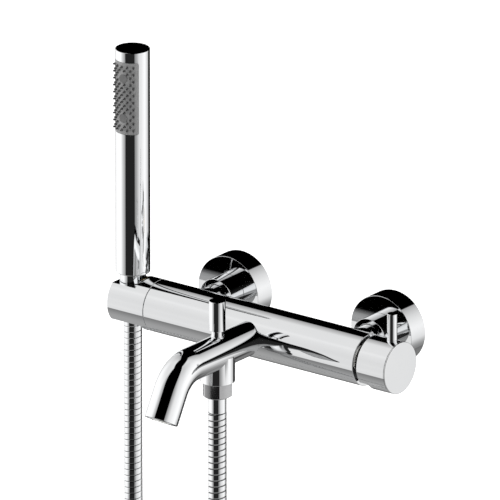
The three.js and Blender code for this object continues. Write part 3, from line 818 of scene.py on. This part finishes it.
def nut_outline():
    """A hexagon with slightly crowned sides."""
    outline = []
    for side in range(6):
        start, end = (
            Vector((NUT_CORNER_R * math.cos(turn), NUT_CORNER_R * math.sin(turn)))
            for turn in (math.radians(15 + 60 * side), math.radians(75 + 60 * side))
        )
        out = (start + end).normalized()
        for step in range(NUT_SIDE_STEPS):
            t = step / NUT_SIDE_STEPS
            crown = NUT_CROWN * 4 * t * (1 - t)
            place = start * (1 - t) + end * t + out * crown
            outline.append((place.x, DIVERTER_Y + place.y))
    return outline


def make_shower_outlet():
    nut_low, nut_high = box_mm("hose_nut")
    nut = prism("hose_nut", nut_outline(), nut_low.z, nut_high.z, "z")
    turned_off = turned("turned_off", "z", DIVERTER_AXIS, [
        (0, nut_low.z), (10.2, nut_low.z), (12.5, nut_low.z + 1.6), (12.5, nut_high.z), (0, nut_high.z),
    ], 96)
    combine(nut, "INTERSECT", [turned_off])
    thread = rod("thread", "z", DIVERTER_AXIS, 9.5, -34.4, -20)
    cut(nut, thread, rod("neck", "z", DIVERTER_AXIS, 7.5, -40, -20))
    finish_piece(nut, bevel=0.25, sharp=25)
    ferrule_low, ferrule_high = box_mm("hose_ferrule")
    ferrule = turned("hose_ferrule", "z", DIVERTER_AXIS, [
        (5.3, ferrule_low.z), (7.15, ferrule_low.z, 0.5), (7.15, -34.1), (9.1, -34.1),
        (9.1, ferrule_high.z), (5.3, ferrule_high.z),
    ])
    finish_piece(ferrule)


# ---------------------------------------------------------------- wall connections

STUB_R = 11
UNION_NUT_R = 15.5
UNION_NUT_FRONT = -34.5


def make_inlet(side, x):
    centre = (x, 0, 0)
    stub = turned("inlet_stub_" + side, "y", centre, [
        (7.6, -60), (STUB_R, -60), (STUB_R, -30.6), (12.8, -30.6), (12.8, -28), (7.6, -28),
    ])
    cut(stub, rod("body", "x", (x, BODY_Y, 0), BODY_R + SADDLE_GAP, -30, 30, 192))
    finish_piece(stub)
    nut = turned("union_nut_" + side, "y", centre, [
        (STUB_R + GAP, UNION_NUT_FRONT, 0.3), (UNION_NUT_R, UNION_NUT_FRONT, 0.4),
        (UNION_NUT_R, ROSETTE_FRONT - GAP), (13.6, ROSETTE_FRONT - GAP), (13.6, -30.9),
        (STUB_R + GAP, -30.9),
    ])
    finish_piece(nut)
    rosette = turned("rosette_" + side, "y", centre, [
        (13.6, ROSETTE_FRONT), (ROSETTE_R, ROSETTE_FRONT, 0.3), (ROSETTE_R, 0), (ROSETTE_R - 1.6, 0),
        (ROSETTE_R - 1.6, ROSETTE_FRONT + 2), (13.6, ROSETTE_FRONT + 2),
    ], 192)
    finish_piece(rosette)


THREAD_PITCH = 1.81  # 14 turns to the inch
THREAD_DEPTH = 0.9
UNION_R = 13.2
WALL_THREAD_R = 10.48  # G 1/2
UNION_BORE_R = 8
WALL_BORE_R = 7
ECCENTRIC_DROP = 7


def thread_profile(radius, low, high):
    """The outline of a thread between two distances along its axis, as turned rings."""
    points = [(radius - THREAD_DEPTH, low)]
    for turn in range(int((high - low) / THREAD_PITCH)):
        start = low + turn * THREAD_PITCH
        points += [
            (radius - THREAD_DEPTH, start + 0.2),
            (radius, start + 0.8),
            (radius, start + 1.0),
            (radius - THREAD_DEPTH, start + 1.6),
        ]
    return points + [(radius - THREAD_DEPTH, high)]


def make_union(side, x):
    """The eccentric union in the wall: a wide thread for the nut, a narrow and lower one for the pipe."""
    wide = turned("s_union_" + side, "y", (x, 0, 0), [
        (0, -25.6),
        *thread_profile(UNION_R, -25.6, -8),
        (UNION_R, -8),
        (UNION_R, -4, 0.5),
        (0, -4),
    ], 96)
    narrow = turned("narrow", "y", (x, 0, -ECCENTRIC_DROP), [
        (0, -9),
        (WALL_THREAD_R, -9),
        (WALL_THREAD_R, 2, 0.5),
        *thread_profile(WALL_THREAD_R, 2.5, 22),
        (0, 22),
    ], 96)
    join(wide, narrow)
    cut(
        wide,
        rod("bore", "y", (x, 0, 0), UNION_BORE_R, -30, -8),
        rod("wall_bore", "y", (x, 0, -ECCENTRIC_DROP), WALL_BORE_R, -10, 30),
    )
    finish_piece(wide)


# ---------------------------------------------------------------- pieces inside

def sleeve(inner, outer, low, high, corner=0.2):
    """The outline of a plain ring or pipe with small round corners."""
    return [(inner, low, corner), (outer, low, corner), (outer, high, corner), (inner, high, corner)]


def disc(radius, low, high, corner=0.2):
    """The outline of a plain disc with small round edges."""
    return [(0, low), (radius, low, corner), (radius, high, corner), (0, high)]


def make_inner_pieces():
    """The turned pieces that hardly show."""
    connector_low = HANDSET_BOTTOM + GAP
    # Axis, a point on it, and (radius, distance along it[, corner radius]) round the outline.
    pieces = {
        "holder_connector": ("x", BODY_AXIS, [
            (0, -113.7), (12, -113.7, 0.4), (12, -110.4), (10, -110.4), (10, -107.6), (12, -107.6),
            (12, -106.2), (10.2, -106.2), (10.2, -101.8), (12, -101.8), (12, -80.3), (0, -80.3),
        ]),
        "holder_friction_ring": ("x", BODY_AXIS, sleeve(10.3, 12.1, -110.1, -107.9, 0.8)),
        "hose_top_washer": ("z", HANDSET_AXIS, sleeve(6.4, 8.8, 33.3, 34.9)),
        "handset_connector": ("z", HANDSET_AXIS, [
            (9.3, connector_low), (11.7, connector_low, 0.3), (11.7, 42, 0.3), (5.6, 42), (5.6, 38),
            (4, 38), (4, 35.2), (9.3, 35.2),
        ]),
        "inner_water_pipe": ("z", HANDSET_AXIS, sleeve(4, 5.3, 38.3, 141)),
        "diverter_seat": ("z", DIVERTER_AXIS, sleeve(5.5, 9.5, -15.5, -12.6)),
        "diverter_valve_disc": ("z", DIVERTER_AXIS, sleeve(2.8, 8.6, -10.9, -9.2)),
        "diverter_valve_seal": ("z", DIVERTER_AXIS, sleeve(2.8, 8.4, -12.3, -11.2, 0.3)),
        "outlet_nipple": ("z", DIVERTER_AXIS, [
            (5.5, -31), (9.2, -31, 0.4), (9.2, -24), (8.7, -24), (8.7, -17.5, 0.3), (5.5, -17.5),
        ]),
        "shower_check_valve": ("z", DIVERTER_AXIS, sleeve(2, 5.2, -30, -18.5, 0.4)),
        "hose_nut_washer": ("z", DIVERTER_AXIS, sleeve(5.6, 9.2, -32.6, -31.3)),
        "cartridge_gasket": ("x", BODY_AXIS, disc(16.8, 84.3, 85.9, 0.3)),
        "cartridge_body": ("x", BODY_AXIS, [
            (0, 86.2), (17.2, 86.2, 0.3), (17.2, 96.8, 0.3), (9.6, 96.8), (9.6, 106.4, 0.3), (6.8, 106.4),
            (6.8, 95), (14.8, 95), (14.8, 88.5), (0, 88.5),
        ]),
        "ceramic_disc_fixed": ("x", BODY_AXIS, disc(14.4, 88.8, 91)),
        "ceramic_disc_moving": ("x", BODY_AXIS, disc(13.6, 91.3, 93.5)),
        "cartridge_retaining_ring": ("x", BODY_AXIS, sleeve(10, 17.2, 97.1, 103.4, 0.4)),
        "lever_carrier": ("x", BODY_AXIS, [
            (0, 93.8), (13.6, 93.8, 0.2), (13.6, 94.7, 0.2), (6.5, 94.7), (6.5, 106.8), (8.5, 106.8, 0.3),
            (8.5, 116, 0.5), (0, 116),
        ]),
    }
    for side, x in (("left", -INLET_X), ("right", INLET_X)):
        pieces["inlet_check_valve_" + side] = ("y", (x, 0, 0), sleeve(4, 7.3, -46, -30, 0.4))
        pieces["inlet_washer_" + side] = ("y", (x, 0, 0), sleeve(8, 12.6, -27.7, -25.9))
    cuts = inner_cuts()
    for name, (axis, centre, profile) in pieces.items():
        piece = turned(name, axis, centre, profile, 96)
        if name in cuts:
            cut(piece, *cuts[name])
        finish_piece(piece)


WATERWAYS = ((6, -8), (6, 8), (-9, 0))  # hot, cold and mixed, from the body's axis
STEM_SIDE = 6
LEVER_PIVOT_X = 112
PIVOT_HOLE_R = 1.8
PIVOT_PIN_HALF = 7.5  # half its length
WRENCH_HALF = 1.5  # half the width of the slot for a wrench


def drills(radius, low, high):
    return [rod("drill", "x", (0, BODY_Y + y, z), radius, low, high, 32) for y, z in WATERWAYS]


def inner_cuts():
    """The tools that cut ports, slots and pivot holes in the cartridge's pieces."""
    slot = STEM_SIDE / 2 + GAP
    return {
        "cartridge_gasket": drills(4.6, 80, 90),
        "cartridge_body": drills(3.6, 80, 90),
        "ceramic_disc_fixed": drills(3.6, 80, 95),
        "ceramic_disc_moving": [block("pocket", (90, BODY_Y - 12, -7), (92.6, BODY_Y + 5, 7))],
        "cartridge_retaining_ring": [
            block("wrench_slot", (101.6, BODY_Y - 18, -WRENCH_HALF), (104, BODY_Y + 18, WRENCH_HALF)),
        ],
        "lever_carrier": [
            block("cheeks", (107.5, BODY_Y - slot, -20), (120, BODY_Y + slot, 20)),
            rod("pivot", "y", (LEVER_PIVOT_X, BODY_Y, 0), PIVOT_HOLE_R, -20, 20, 32),
        ],
    }


def make_lever_stem():
    half = STEM_SIDE / 2
    stem = block("lever_stem", (109, BODY_Y - half, -half), (131, BODY_Y + half, half))
    cut(stem, rod("pivot", "y", (LEVER_PIVOT_X, BODY_Y, 0), PIVOT_HOLE_R, -20, 20, 32))
    finish_piece(stem, bevel=0.3)
    outline = disc(PIVOT_HOLE_R - GAP, -PIVOT_PIN_HALF, PIVOT_PIN_HALF, 0.3)
    pin = turned("lever_pivot_pin", "y", (LEVER_PIVOT_X, BODY_Y, 0), outline, 32)
    finish_piece(pin)


# ---------------------------------------------------------------- control knob

LEVER_PIN_X = 127.9
LEVER_PIN_R = 4
NOTCH_TOP = -13
NOTCH_END = 116.8
NOTCH_ROUND = 3
CAP_RECESS_R = 16.3
CAP_RECESS = 131
NOTCH_STEPS = 8
LEVER_PIN_GAP = 0.02  # between the knob and the foot of the pin


def make_knob():
    barrel = turned("control_knob", "x", BODY_AXIS, [
        (11.5, KNOB_START, 0.3), (BODY_R, KNOB_START, BODY_BEVEL), (BODY_R, CAP_SEAM - GAP, 0.15),
        (CAP_RECESS_R, CAP_SEAM - GAP), (CAP_RECESS_R, CAP_RECESS), (5, CAP_RECESS), (5, 120),
        (11.5, 120),
    ], 192)
    # The notch below leaves room for the knob to tilt; its far upper corner is round.
    outline = [(NOTCH_TOP, KNOB_START - 2), (-30, KNOB_START - 2), (-30, NOTCH_END)]
    for step in range(NOTCH_STEPS + 1):
        angle = math.radians(90 * step / NOTCH_STEPS)
        outline.append((
            NOTCH_TOP - NOTCH_ROUND + NOTCH_ROUND * math.sin(angle),
            NOTCH_END - NOTCH_ROUND + NOTCH_ROUND * math.cos(angle),
        ))
    notch = prism("notch", outline, BODY_Y - 30, BODY_Y + 30, "y")
    cut(barrel, notch, rod("pin_hole", "z", (LEVER_PIN_X, BODY_Y, 0), 3.3, 4, 30))
    finish_piece(barrel, bevel=0.15)

    cap = turned("knob_cap", "x", BODY_AXIS, [
        (0, CAP_RECESS + GAP), (CAP_RECESS_R - GAP, CAP_RECESS + GAP), (CAP_RECESS_R - GAP, CAP_SEAM),
        (BODY_R, CAP_SEAM, 0.15), (BODY_R, BODY_RIGHT, 0.45), (0, BODY_RIGHT),
    ], 192)
    finish_piece(cap)

    top = box_mm("lever_pin")[1].z
    pin = turned("lever_pin", "z", (LEVER_PIN_X, BODY_Y, 0), [
        (0, 3.3), (3, 3.3), (3, BODY_R - 3), (LEVER_PIN_R, BODY_R - 3), (LEVER_PIN_R, top, 0.35),
        (0, top),
    ], 96)
    wall = BODY_R + LEVER_PIN_GAP
    outline = [(BODY_R - 4.5, 118), (wall, 118), (wall, 134), (BODY_R - 4.5, 134)]
    cut(pin, turned("knob_wall", "x", BODY_AXIS, outline, 192))
    keep_largest(pin)
    finish_piece(pin)


def keep_largest(piece):
    """Removes all but the largest separate part of a mesh."""
    mesh = bmesh.new()
    mesh.from_mesh(piece.data)
    left = set(mesh.verts)
    islands = []
    while left:
        island, queue = set(), [left.pop()]
        while queue:
            vertex = queue.pop()
            island.add(vertex)
            for edge in vertex.link_edges:
                other = edge.other_vert(vertex)
                if other in left:
                    left.remove(other)
                    queue.append(other)
        islands.append(island)
    largest = max(islands, key=len)
    bmesh.ops.delete(mesh, geom=[v for v in mesh.verts if v not in largest], context="VERTS")
    mesh.to_mesh(piece.data)
    mesh.free()


# ---------------------------------------------------------------- hose

# One turn of the overlapping strip: place along the pitch, and depth below the crest in millimetres.
SPIRAL = [(0.0, 0.06), (0.04, 0.0), (0.76, 0.0), (0.8, 0.05), (0.9, 0.22), (0.93, 0.5), (0.975, 0.52)]
GROOVE_SHADE = 0.25  # deeper than this, the groove's faces are painted black as shade
LINE_STEPS = 3000
HOSE_SIDES = 40
COIL_STEPS = 36  # in each turn

# The coil's middle, the way from the left leg to the right one, and the coil's own axis.
COIL_MIDDLE = Vector((HANDSET_X / 2, (DIVERTER_Y + BODY_Y) / 2, COIL_Z))
COIL_ACROSS = Vector((-HANDSET_X, DIVERTER_Y - BODY_Y, 0)).normalized()
COIL_AXIS = Vector((-COIL_ACROSS.y, COIL_ACROSS.x, 0))


def spline(points, step=2.0):
    """A smooth curve through points, as closely spaced points."""
    made = []
    padded = [2 * points[0] - points[1], *points, 2 * points[-1] - points[-2]]
    for before, here, after, beyond in zip(padded, padded[1:], padded[2:], padded[3:]):
        steps = max(2, math.ceil((after - here).length / step))
        for i in range(steps):
            t = i / steps
            made.append(
                0.5 * (2 * here + (after - before) * t + (2 * before - 5 * here + 4 * after - beyond) * t**2
                       + (3 * here - before - 3 * after + beyond) * t**3)
            )
    made.append(points[-1])
    return made


def hose_route():
    """Down the right leg, one and a half turns of coil, and up the left leg to the holder."""
    down = [Vector(p) for p in RIGHT_LEG]
    up = [Vector(p) for p in reversed(LEFT_LEG)]
    coil = []
    stops = round(COIL_TURNS * COIL_STEPS)
    for i in range(stops + 1):
        turn = -2 * math.pi * COIL_TURNS * i / stops
        drift = COIL_DRIFT * (2 * i / stops - 1)
        ring = COIL_ACROSS * COIL_R * math.cos(turn) + Vector((0, 0, COIL_R * math.sin(turn)))
        coil.append(COIL_MIDDLE + ring + COIL_AXIS * drift)
    return spline([*down, *coil, *up])


def evenly(points, count):
    """The same line as count + 1 evenly spaced points, as an array."""
    line = np.array([tuple(p) for p in points])
    steps = np.linalg.norm(np.diff(line, axis=0), axis=1)
    along = np.concatenate([[0], np.cumsum(steps)])
    at = np.linspace(0, along[-1], count + 1)
    return np.stack([np.interp(at, along, line[:, i]) for i in range(3)], axis=1), along[-1]


def carried_frames(line):
    """Two cross directions along a line, turned as little as possible."""
    tangents = np.gradient(line, axis=0)
    tangents /= np.linalg.norm(tangents, axis=1)[:, None]
    first = np.zeros_like(line)
    side = np.array([1.0, 0.0, 0.0])
    for i, tangent in enumerate(tangents):
        side = side - tangent * (side @ tangent)
        side /= np.linalg.norm(side)
        first[i] = side
    return first, np.cross(tangents, first)


def spiral_tube(name, points, radius):
    """A tube with a spiral groove: its edges follow the groove, and its ends are square and closed."""
    line, length = evenly(points, LINE_STEPS)
    grid = np.linspace(0, length, len(line))
    first, second = carried_frames(line)
    turns = math.ceil(length / HOSE_PITCH)
    rows = [(turn + share, depth) for turn in range(-1, turns + 1) for share, depth in SPIRAL]
    angles = 2 * math.pi * np.arange(HOSE_SIDES) / HOSE_SIDES
    rings = []
    for place, depth in rows:
        wanted = (place + angles / (2 * math.pi)) * HOSE_PITCH
        at = np.clip(wanted, 0, length)
        reach = radius - np.where(at == wanted, depth, 0.0)
        centre, a, b = (
            np.stack([np.interp(at, grid, values[:, i]) for i in range(3)], axis=1)
            for values in (line, first, second)
        )
        rings.append(centre + a * (reach * np.cos(angles))[:, None] + b * (reach * np.sin(angles))[:, None])
    faces = []
    pitch_rows = len(SPIRAL)
    for row in range(len(rows) - 1):
        here, up = row * HOSE_SIDES, (row + 1) * HOSE_SIDES
        for i in range(HOSE_SIDES - 1):
            faces.append([here + i, here + i + 1, up + i + 1, up + i])
        # Once round, the groove has moved on by one pitch.
        if row + 1 + pitch_rows < len(rows):
            last = HOSE_SIDES - 1
            ahead = pitch_rows * HOSE_SIDES
            faces.append([here + last, here + ahead, up + ahead, up + last])
    piece = make_object(name, np.concatenate(rings), faces)
    close_ends(piece)
    return piece


def close_ends(piece):
    """Removes faces without area and fills a tube's open ends."""
    mesh = bmesh.new()
    mesh.from_mesh(piece.data)
    bmesh.ops.dissolve_degenerate(mesh, edges=mesh.edges, dist=1e-7)
    loose = [vertex for vertex in mesh.verts if not vertex.link_faces]
    bmesh.ops.delete(mesh, geom=loose, context="VERTS")
    ends = [edge for edge in mesh.edges if edge.is_boundary]
    bmesh.ops.holes_fill(mesh, edges=ends, sides=0)
    bmesh.ops.recalc_face_normals(mesh, faces=mesh.faces)
    mesh.to_mesh(piece.data)
    mesh.free()


def paint_groove_shade(piece, route, radius):
    """Paints the bottom of the spiral groove black with the rubber material, as painted shade in the groove.
    """
    line, _ = evenly(route, LINE_STEPS)
    near = KDTree(len(line))
    for i, point in enumerate(line):
        near.insert(point, i)
    near.balance()
    piece.data.materials.append(RUBBER)
    deep = radius - GROOVE_SHADE
    for face in piece.data.polygons:
        centre = sum((piece.data.vertices[i].co for i in face.vertices), Vector()) / len(face.vertices)
        # Painted shade: faces deeper than GROOVE_SHADE take the black rubber.
        if near.find(centre / MM)[2] < deep and len(face.vertices) < 5:
            face.material_index = 1


INNER_HOSE_R = HOSE_R - 0.2
INNER_TOP = 4
INNER_BOTTOM = -85


def make_hose():
    route = hose_route()
    hose = spiral_tube("shower_hose", route, HOSE_R)
    smooth(hose, HOSE_CHROME, sharp=50)
    # Painted shade: the deep faces of the spiral groove turn black.
    paint_groove_shade(hose, route, HOSE_R)
    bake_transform(hose)
    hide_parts("hose_tube_right", "hose_coil", "hose_tube_left")

    # The end of the hose inside the holder, which slides out with the handset.
    top, bottom = (Vector((HANDSET_X, BODY_Y, z)) for z in (INNER_TOP, INNER_BOTTOM))
    inner = spiral_tube("hose_upper_end", [top, (top + bottom) / 2, bottom], INNER_HOSE_R)
    finish_piece(inner, sharp=50)
    # Painted shade in the groove of the hose's upper end too.
    paint_groove_shade(inner, [top, bottom], INNER_HOSE_R)
    ties = [make_tie("hose_tie_right", -30), make_tie("hose_tie_left", -150)]


TIE_WIDTH = 12
TIE_THICK = 1.2
TIE_GAP = 0.2  # between the strap and the hose
TIE_STEPS = 24  # in the half circle round each turn of hose


def make_tie(name, angle):
    """A strap drawn tight round the two turns of hose that pass at an angle of the coil."""
    turn = math.radians(angle)
    outward = COIL_ACROSS * math.cos(turn) + Vector((0, 0, math.sin(turn)))
    onward = COIL_AXIS.cross(outward)
    passes = [COIL_DRIFT * (2 * (lap * 360 - angle) / (COIL_TURNS * 360) - 1) for lap in (0, 1)]
    vertices, faces = [], []
    inner = HOSE_R + TIE_GAP
    outer = inner + TIE_THICK
    edge = TIE_WIDTH / 2
    for reach, half in ((inner, -edge), (outer, -edge), (outer, edge), (inner, edge)):
        for drift, start in zip(passes, (90, -90)):
            for step in range(TIE_STEPS + 1):
                bend = math.radians(start + 180 * step / TIE_STEPS)
                place = COIL_MIDDLE + outward * (COIL_R + reach * math.sin(bend))
                vertices.append(place + COIL_AXIS * (drift + reach * math.cos(bend)) + onward * half)
    count = 2 * (TIE_STEPS + 1)
    for ring in range(4):
        here, up = ring * count, (ring + 1) % 4 * count
        for i in range(count):
            after = (i + 1) % count
            faces.append([here + i, here + after, up + after, up + i])
    tie = make_object(name, vertices, faces)
    finish_piece(tie, bevel=0.3)
    return tie


# ---------------------------------------------------------------- camera, light and floor

AZIMUTH = math.radians(37)
ELEVATION = math.radians(20)
FRAME_WIDTH = 0.3914  # what the picture is wide, in metres
AIM_RIGHT = -0.0537
AIM_UP = 0.0437
AIM_DEPTH = 0.05
LENS = 1700
SENSOR = 36

FRONT = Vector((math.sin(AZIMUTH), -math.cos(AZIMUTH), 0))  # level, towards the camera
RIGHT = Vector((math.cos(AZIMUTH), math.sin(AZIMUTH), 0))
UP = Vector((0, 0, 1))


def make_camera():
    back = FRONT * math.cos(ELEVATION) + UP * math.sin(ELEVATION)
    above = back.cross(RIGHT)
    data = bpy.data.cameras.new("camera")
    data.lens = LENS
    data.sensor_width = SENSOR
    data.clip_end = 100
    camera = bpy.data.objects.new("camera", data)
    bpy.context.scene.collection.objects.link(camera)
    distance = LENS / SENSOR * FRAME_WIDTH
    target = RIGHT * AIM_RIGHT + above * AIM_UP + back * AIM_DEPTH
    camera.matrix_world = Matrix.Translation(target + back * distance) @ Matrix(
        (RIGHT, above, back)
    ).transposed().to_4x4()
    bpy.context.scene.camera = camera


class Studio:
    """The world's nodes: light by direction, as bearing and height in degrees about the camera's side."""

    def __init__(self):
        world = bpy.data.worlds.new("studio")
        world.use_nodes = True
        bpy.context.scene.world = world
        self.nodes = world.node_tree.nodes
        self.links = world.node_tree.links
        direction = self.nodes.new("ShaderNodeTexCoord").outputs["Generated"]
        ahead, across, height = (self.dot(direction, axis) for axis in (FRONT, RIGHT, UP))
        self.bearing = self.degrees(self.math("ARCTAN2", across, ahead))
        self.from_back = self.degrees(
            self.math("ARCTAN2", self.math("MULTIPLY", across, -1.0), self.math("MULTIPLY", ahead, -1.0))
        )
        self.height = self.degrees(self.math("ARCSINE", height))

    def math(self, operation, *values):
        node = self.nodes.new("ShaderNodeMath")
        node.operation = operation
        for socket, value in zip(node.inputs, values):
            if isinstance(value, (int, float)):
                socket.default_value = value
            else:
                self.links.new(value, socket)
        return node.outputs[0]

    def degrees(self, radians):
        return self.math("MULTIPLY", radians, 180 / math.pi)

    def dot(self, direction, axis):
        node = self.nodes.new("ShaderNodeVectorMath")
        node.operation = "DOT_PRODUCT"
        self.links.new(direction, node.inputs[0])
        node.inputs[1].default_value = axis
        return node.outputs["Value"]

    def above(self, value, edge, soft):
        """1 where a value is over an edge, 0 under it, with a soft step between."""
        node = self.nodes.new("ShaderNodeMapRange")
        node.interpolation_type = "SMOOTHSTEP"
        node.inputs["From Min"].default_value = edge - soft
        node.inputs["From Max"].default_value = edge + soft
        self.links.new(value, node.inputs["Value"])
        return node.outputs["Result"]

    def below(self, value, edge, soft):
        return self.math("SUBTRACT", 1.0, self.above(value, edge, soft))

    def both(self, *masks):
        made = masks[0]
        for mask in masks[1:]:
            made = self.math("MULTIPLY", made, mask)
        return made

    def between(self, value, low, high, soft):
        return self.both(self.above(value, low, soft), self.below(value, high, soft))

    def slanted(self, value, slope):
        """A bearing that drifts with height, measured from a height of -20 degrees."""
        return self.math("ADD", value, self.math("MULTIPLY", self.math("ADD", self.height, 20.0), slope))

    def graded(self, value, start, end, low, high):
        """Runs from low to high as a value goes from start to end."""
        node = self.nodes.new("ShaderNodeMapRange")
        for name, number in zip(("From Min", "From Max", "To Min", "To Max"), (start, end, low, high)):
            node.inputs[name].default_value = number
        self.links.new(value, node.inputs["Value"])
        return node.outputs["Result"]

    def stops(self, degrees, stops):
        """A value for each angle, in straight lines between stops."""
        share = self.graded(degrees, -180, 180, 0.0, 1.0)
        node = self.nodes.new("ShaderNodeValToRGB")
        elements = node.color_ramp.elements
        for element, (_, brightness) in ((elements[0], stops[0]), (elements[1], stops[-1])):
            element.color = (brightness, brightness, brightness, 1)
        for angle, brightness in stops[1:-1]:
            elements.new((angle + 180) / 360).color = (brightness, brightness, brightness, 1)
        self.links.new(share, node.inputs["Fac"])
        return node.outputs["Color"]

    def paint(self, under, mask, brightness):
        """Lays a brightness over what is there, where the mask is 1."""
        kept = self.math("MULTIPLY", under, self.math("SUBTRACT", 1.0, mask))
        return self.math("ADD", kept, self.math("MULTIPLY", mask, brightness))


# Brightness at bearings in degrees round the object, just below its own height. These stops and the
# edges below are fitted to how bright the reflections in the photo are.
SURROUND = [
    (-180, 0.5), (-165, 0.55), (-158, 0.72), (-150, 0.85), (-143, 1.0), (-137, 1.08), (-84, 1.1),
    (-79, 0.95), (-71, 0.72), (-63, 0.57), (-55, 0.4), (-49.5, 0.28), (14, 0.28), (19, 0.3), (26, 0.41),
    (32, 0.53), (39, 0.69), (46, 0.82), (61, 0.87), (69, 0.95), (86, 1.06), (95, 1.02), (105, 0.83),
    (117, 0.64), (124, 0.5), (180, 0.5),
]
# How that changes with the height in degrees: brightest at eye level, dimmer to the floor and the ceiling.
UPWARDS = [(-180, 0.78), (-34, 0.78), (-21, 1.0), (0, 1.09), (24, 0.95), (36, 0.83), (46, 0.74), (180, 0.74)]
SHARP = 1.0  # half the width of a sharp edge

# The dark ceiling starts at this height, and a little lower on the right.
CEILING = 74
CEILING_RIGHT = 66
CEILING_EDGE = 1.5
RIGHT_SIDE = (5, 179)

# The dark space behind the camera, between two bearings. From CARD_EYE up it is quite black, and its
# sides reach further round for each degree.
CARD_LEFT = -49.5
CARD_RIGHT = 13.8
CARD_LIGHT = 0.018
CARD_EYE = 15.0
CARD_EYE_EDGE = 12
CARD_LEFT_SPREAD = 0.4
CARD_RIGHT_SPREAD = 0.8

# The floor far below: its edge is sharp up to the bearing FLOOR_TURN and soft on the right of it.
FLOOR_SHARP = -33.6
FLOOR_SHARP_EDGE = 0.7
FLOOR_SOFT = -32
FLOOR_SOFT_EDGE = 11
FLOOR_TURN = 35
FLOOR_TURN_EDGE = 15
FLOOR_FADE = (-36, -54)
FLOOR_LIGHT = (0.22, 0.37)

# The unlit side behind the object, between two bearings from its back.
UNLIT_LEFT = -54.5
UNLIT_RIGHT = 12.5
UNLIT_SLOPE = 0.026
UNLIT_FADE = (-26, -54)


def make_world():
    studio = Studio()
    bearing, height, back = studio.bearing, studio.height, studio.from_back
    light = studio.math("MULTIPLY", studio.stops(bearing, SURROUND), studio.stops(height, UPWARDS))
    light = studio.paint(light, studio.above(height, CEILING, CEILING_EDGE), 0.0)
    right_side = studio.between(bearing, *RIGHT_SIDE, SHARP)
    lower = studio.above(height, CEILING_RIGHT, CEILING_EDGE)
    light = studio.paint(light, studio.both(lower, right_side), 0.0)

    risen = studio.math("MAXIMUM", studio.math("SUBTRACT", height, CARD_EYE), 0.0)
    from_left = studio.math("ADD", bearing, studio.math("MULTIPLY", risen, CARD_LEFT_SPREAD))
    from_right = studio.math("SUBTRACT", bearing, studio.math("MULTIPLY", risen, CARD_RIGHT_SPREAD))
    card = studio.both(studio.above(from_left, CARD_LEFT, SHARP), studio.below(from_right, CARD_RIGHT, SHARP))
    light = studio.paint(light, card, CARD_LIGHT)
    light = studio.paint(light, studio.both(card, studio.above(height, CARD_EYE, CARD_EYE_EDGE)), 0.0)

    far_right = studio.above(bearing, FLOOR_TURN, FLOOR_TURN_EDGE)
    sharp_floor = studio.below(height, FLOOR_SHARP, FLOOR_SHARP_EDGE)
    sharp_floor = studio.both(sharp_floor, studio.below(far_right, 0.5, 0.5))
    soft_floor = studio.both(studio.below(height, FLOOR_SOFT, FLOOR_SOFT_EDGE), far_right)
    floor = studio.math("MAXIMUM", sharp_floor, soft_floor)
    light = studio.paint(light, floor, studio.graded(height, *FLOOR_FADE, *FLOOR_LIGHT))

    # The unlit side turns into the floor without an edge.
    from_left = studio.above(studio.slanted(back, UNLIT_SLOPE), UNLIT_LEFT, SHARP)
    unlit = studio.both(from_left, studio.below(back, UNLIT_RIGHT, SHARP))
    light = studio.paint(light, unlit, studio.graded(height, *UNLIT_FADE, 0.0, FLOOR_LIGHT[1]))
    # What the camera itself sees is plain and pale.
    seen = studio.nodes.new("ShaderNodeLightPath").outputs["Is Camera Ray"]
    light = studio.paint(light, seen, 1.0)
    studio.links.new(light, studio.nodes["Background"].inputs["Color"])


# The floor under the hose and the lamp over it all, in metres.
FLOOR_Z = -0.56
FLOOR_SPREAD = 30
FLOOR_GLOW = 0.72
LAMP_PLACE = (0, -0.6, 2.6)
LAMP_TILT = math.radians(12)
LAMP_SIZE = 2.5
LAMP_POWER = 90


def make_floor():
    place = (0, 0, FLOOR_Z)
    bpy.ops.mesh.primitive_circle_add(vertices=96, radius=FLOOR_SPREAD, fill_type="NGON", location=place)
    floor = bpy.context.object
    floor.name = "floor"
    material = bpy.data.materials.new("pale_floor")
    material.use_nodes = True
    surface = material.node_tree.nodes["Principled BSDF"]
    surface.inputs["Base Color"].default_value = (0.85, 0.85, 0.85, 1)
    surface.inputs["Roughness"].default_value = 0.9
    surface.inputs["Specular IOR Level"].default_value = 0.1
    surface.inputs["Emission Color"].default_value = (1, 1, 1, 1)
    surface.inputs["Emission Strength"].default_value = FLOOR_GLOW
    floor.data.materials.append(material)
    floor.visible_glossy = False


def make_overhead_light():
    """A wide soft light for the matte pieces and the floor; polished metal doesn't mirror it."""
    data = bpy.data.lights.new("overhead", "AREA")
    data.shape = "DISK"
    data.size = LAMP_SIZE
    data.energy = LAMP_POWER
    lamp = bpy.data.objects.new("overhead", data)
    lamp.location = LAMP_PLACE
    lamp.rotation_euler = (LAMP_TILT, 0, 0)
    lamp.visible_glossy = False
    lamp.visible_camera = False
    bpy.context.scene.collection.objects.link(lamp)


# ---------------------------------------------------------------- the whole scene

make_camera()
dress_cad_nodes()
make_hose()
make_body()
make_holder()
make_hose_cone()
make_handset()
make_spout()
make_diverter()
make_diverter_spring()
make_shower_outlet()
for make in (make_inlet, make_union):
    make("left", -INLET_X)
    make("right", INLET_X)
make_inner_pieces()
make_lever_stem()
make_knob()
make_world()
make_floor()
make_overhead_light()

bpy.context.scene.view_settings.view_transform = "Standard"
bpy.context.view_layer.update()
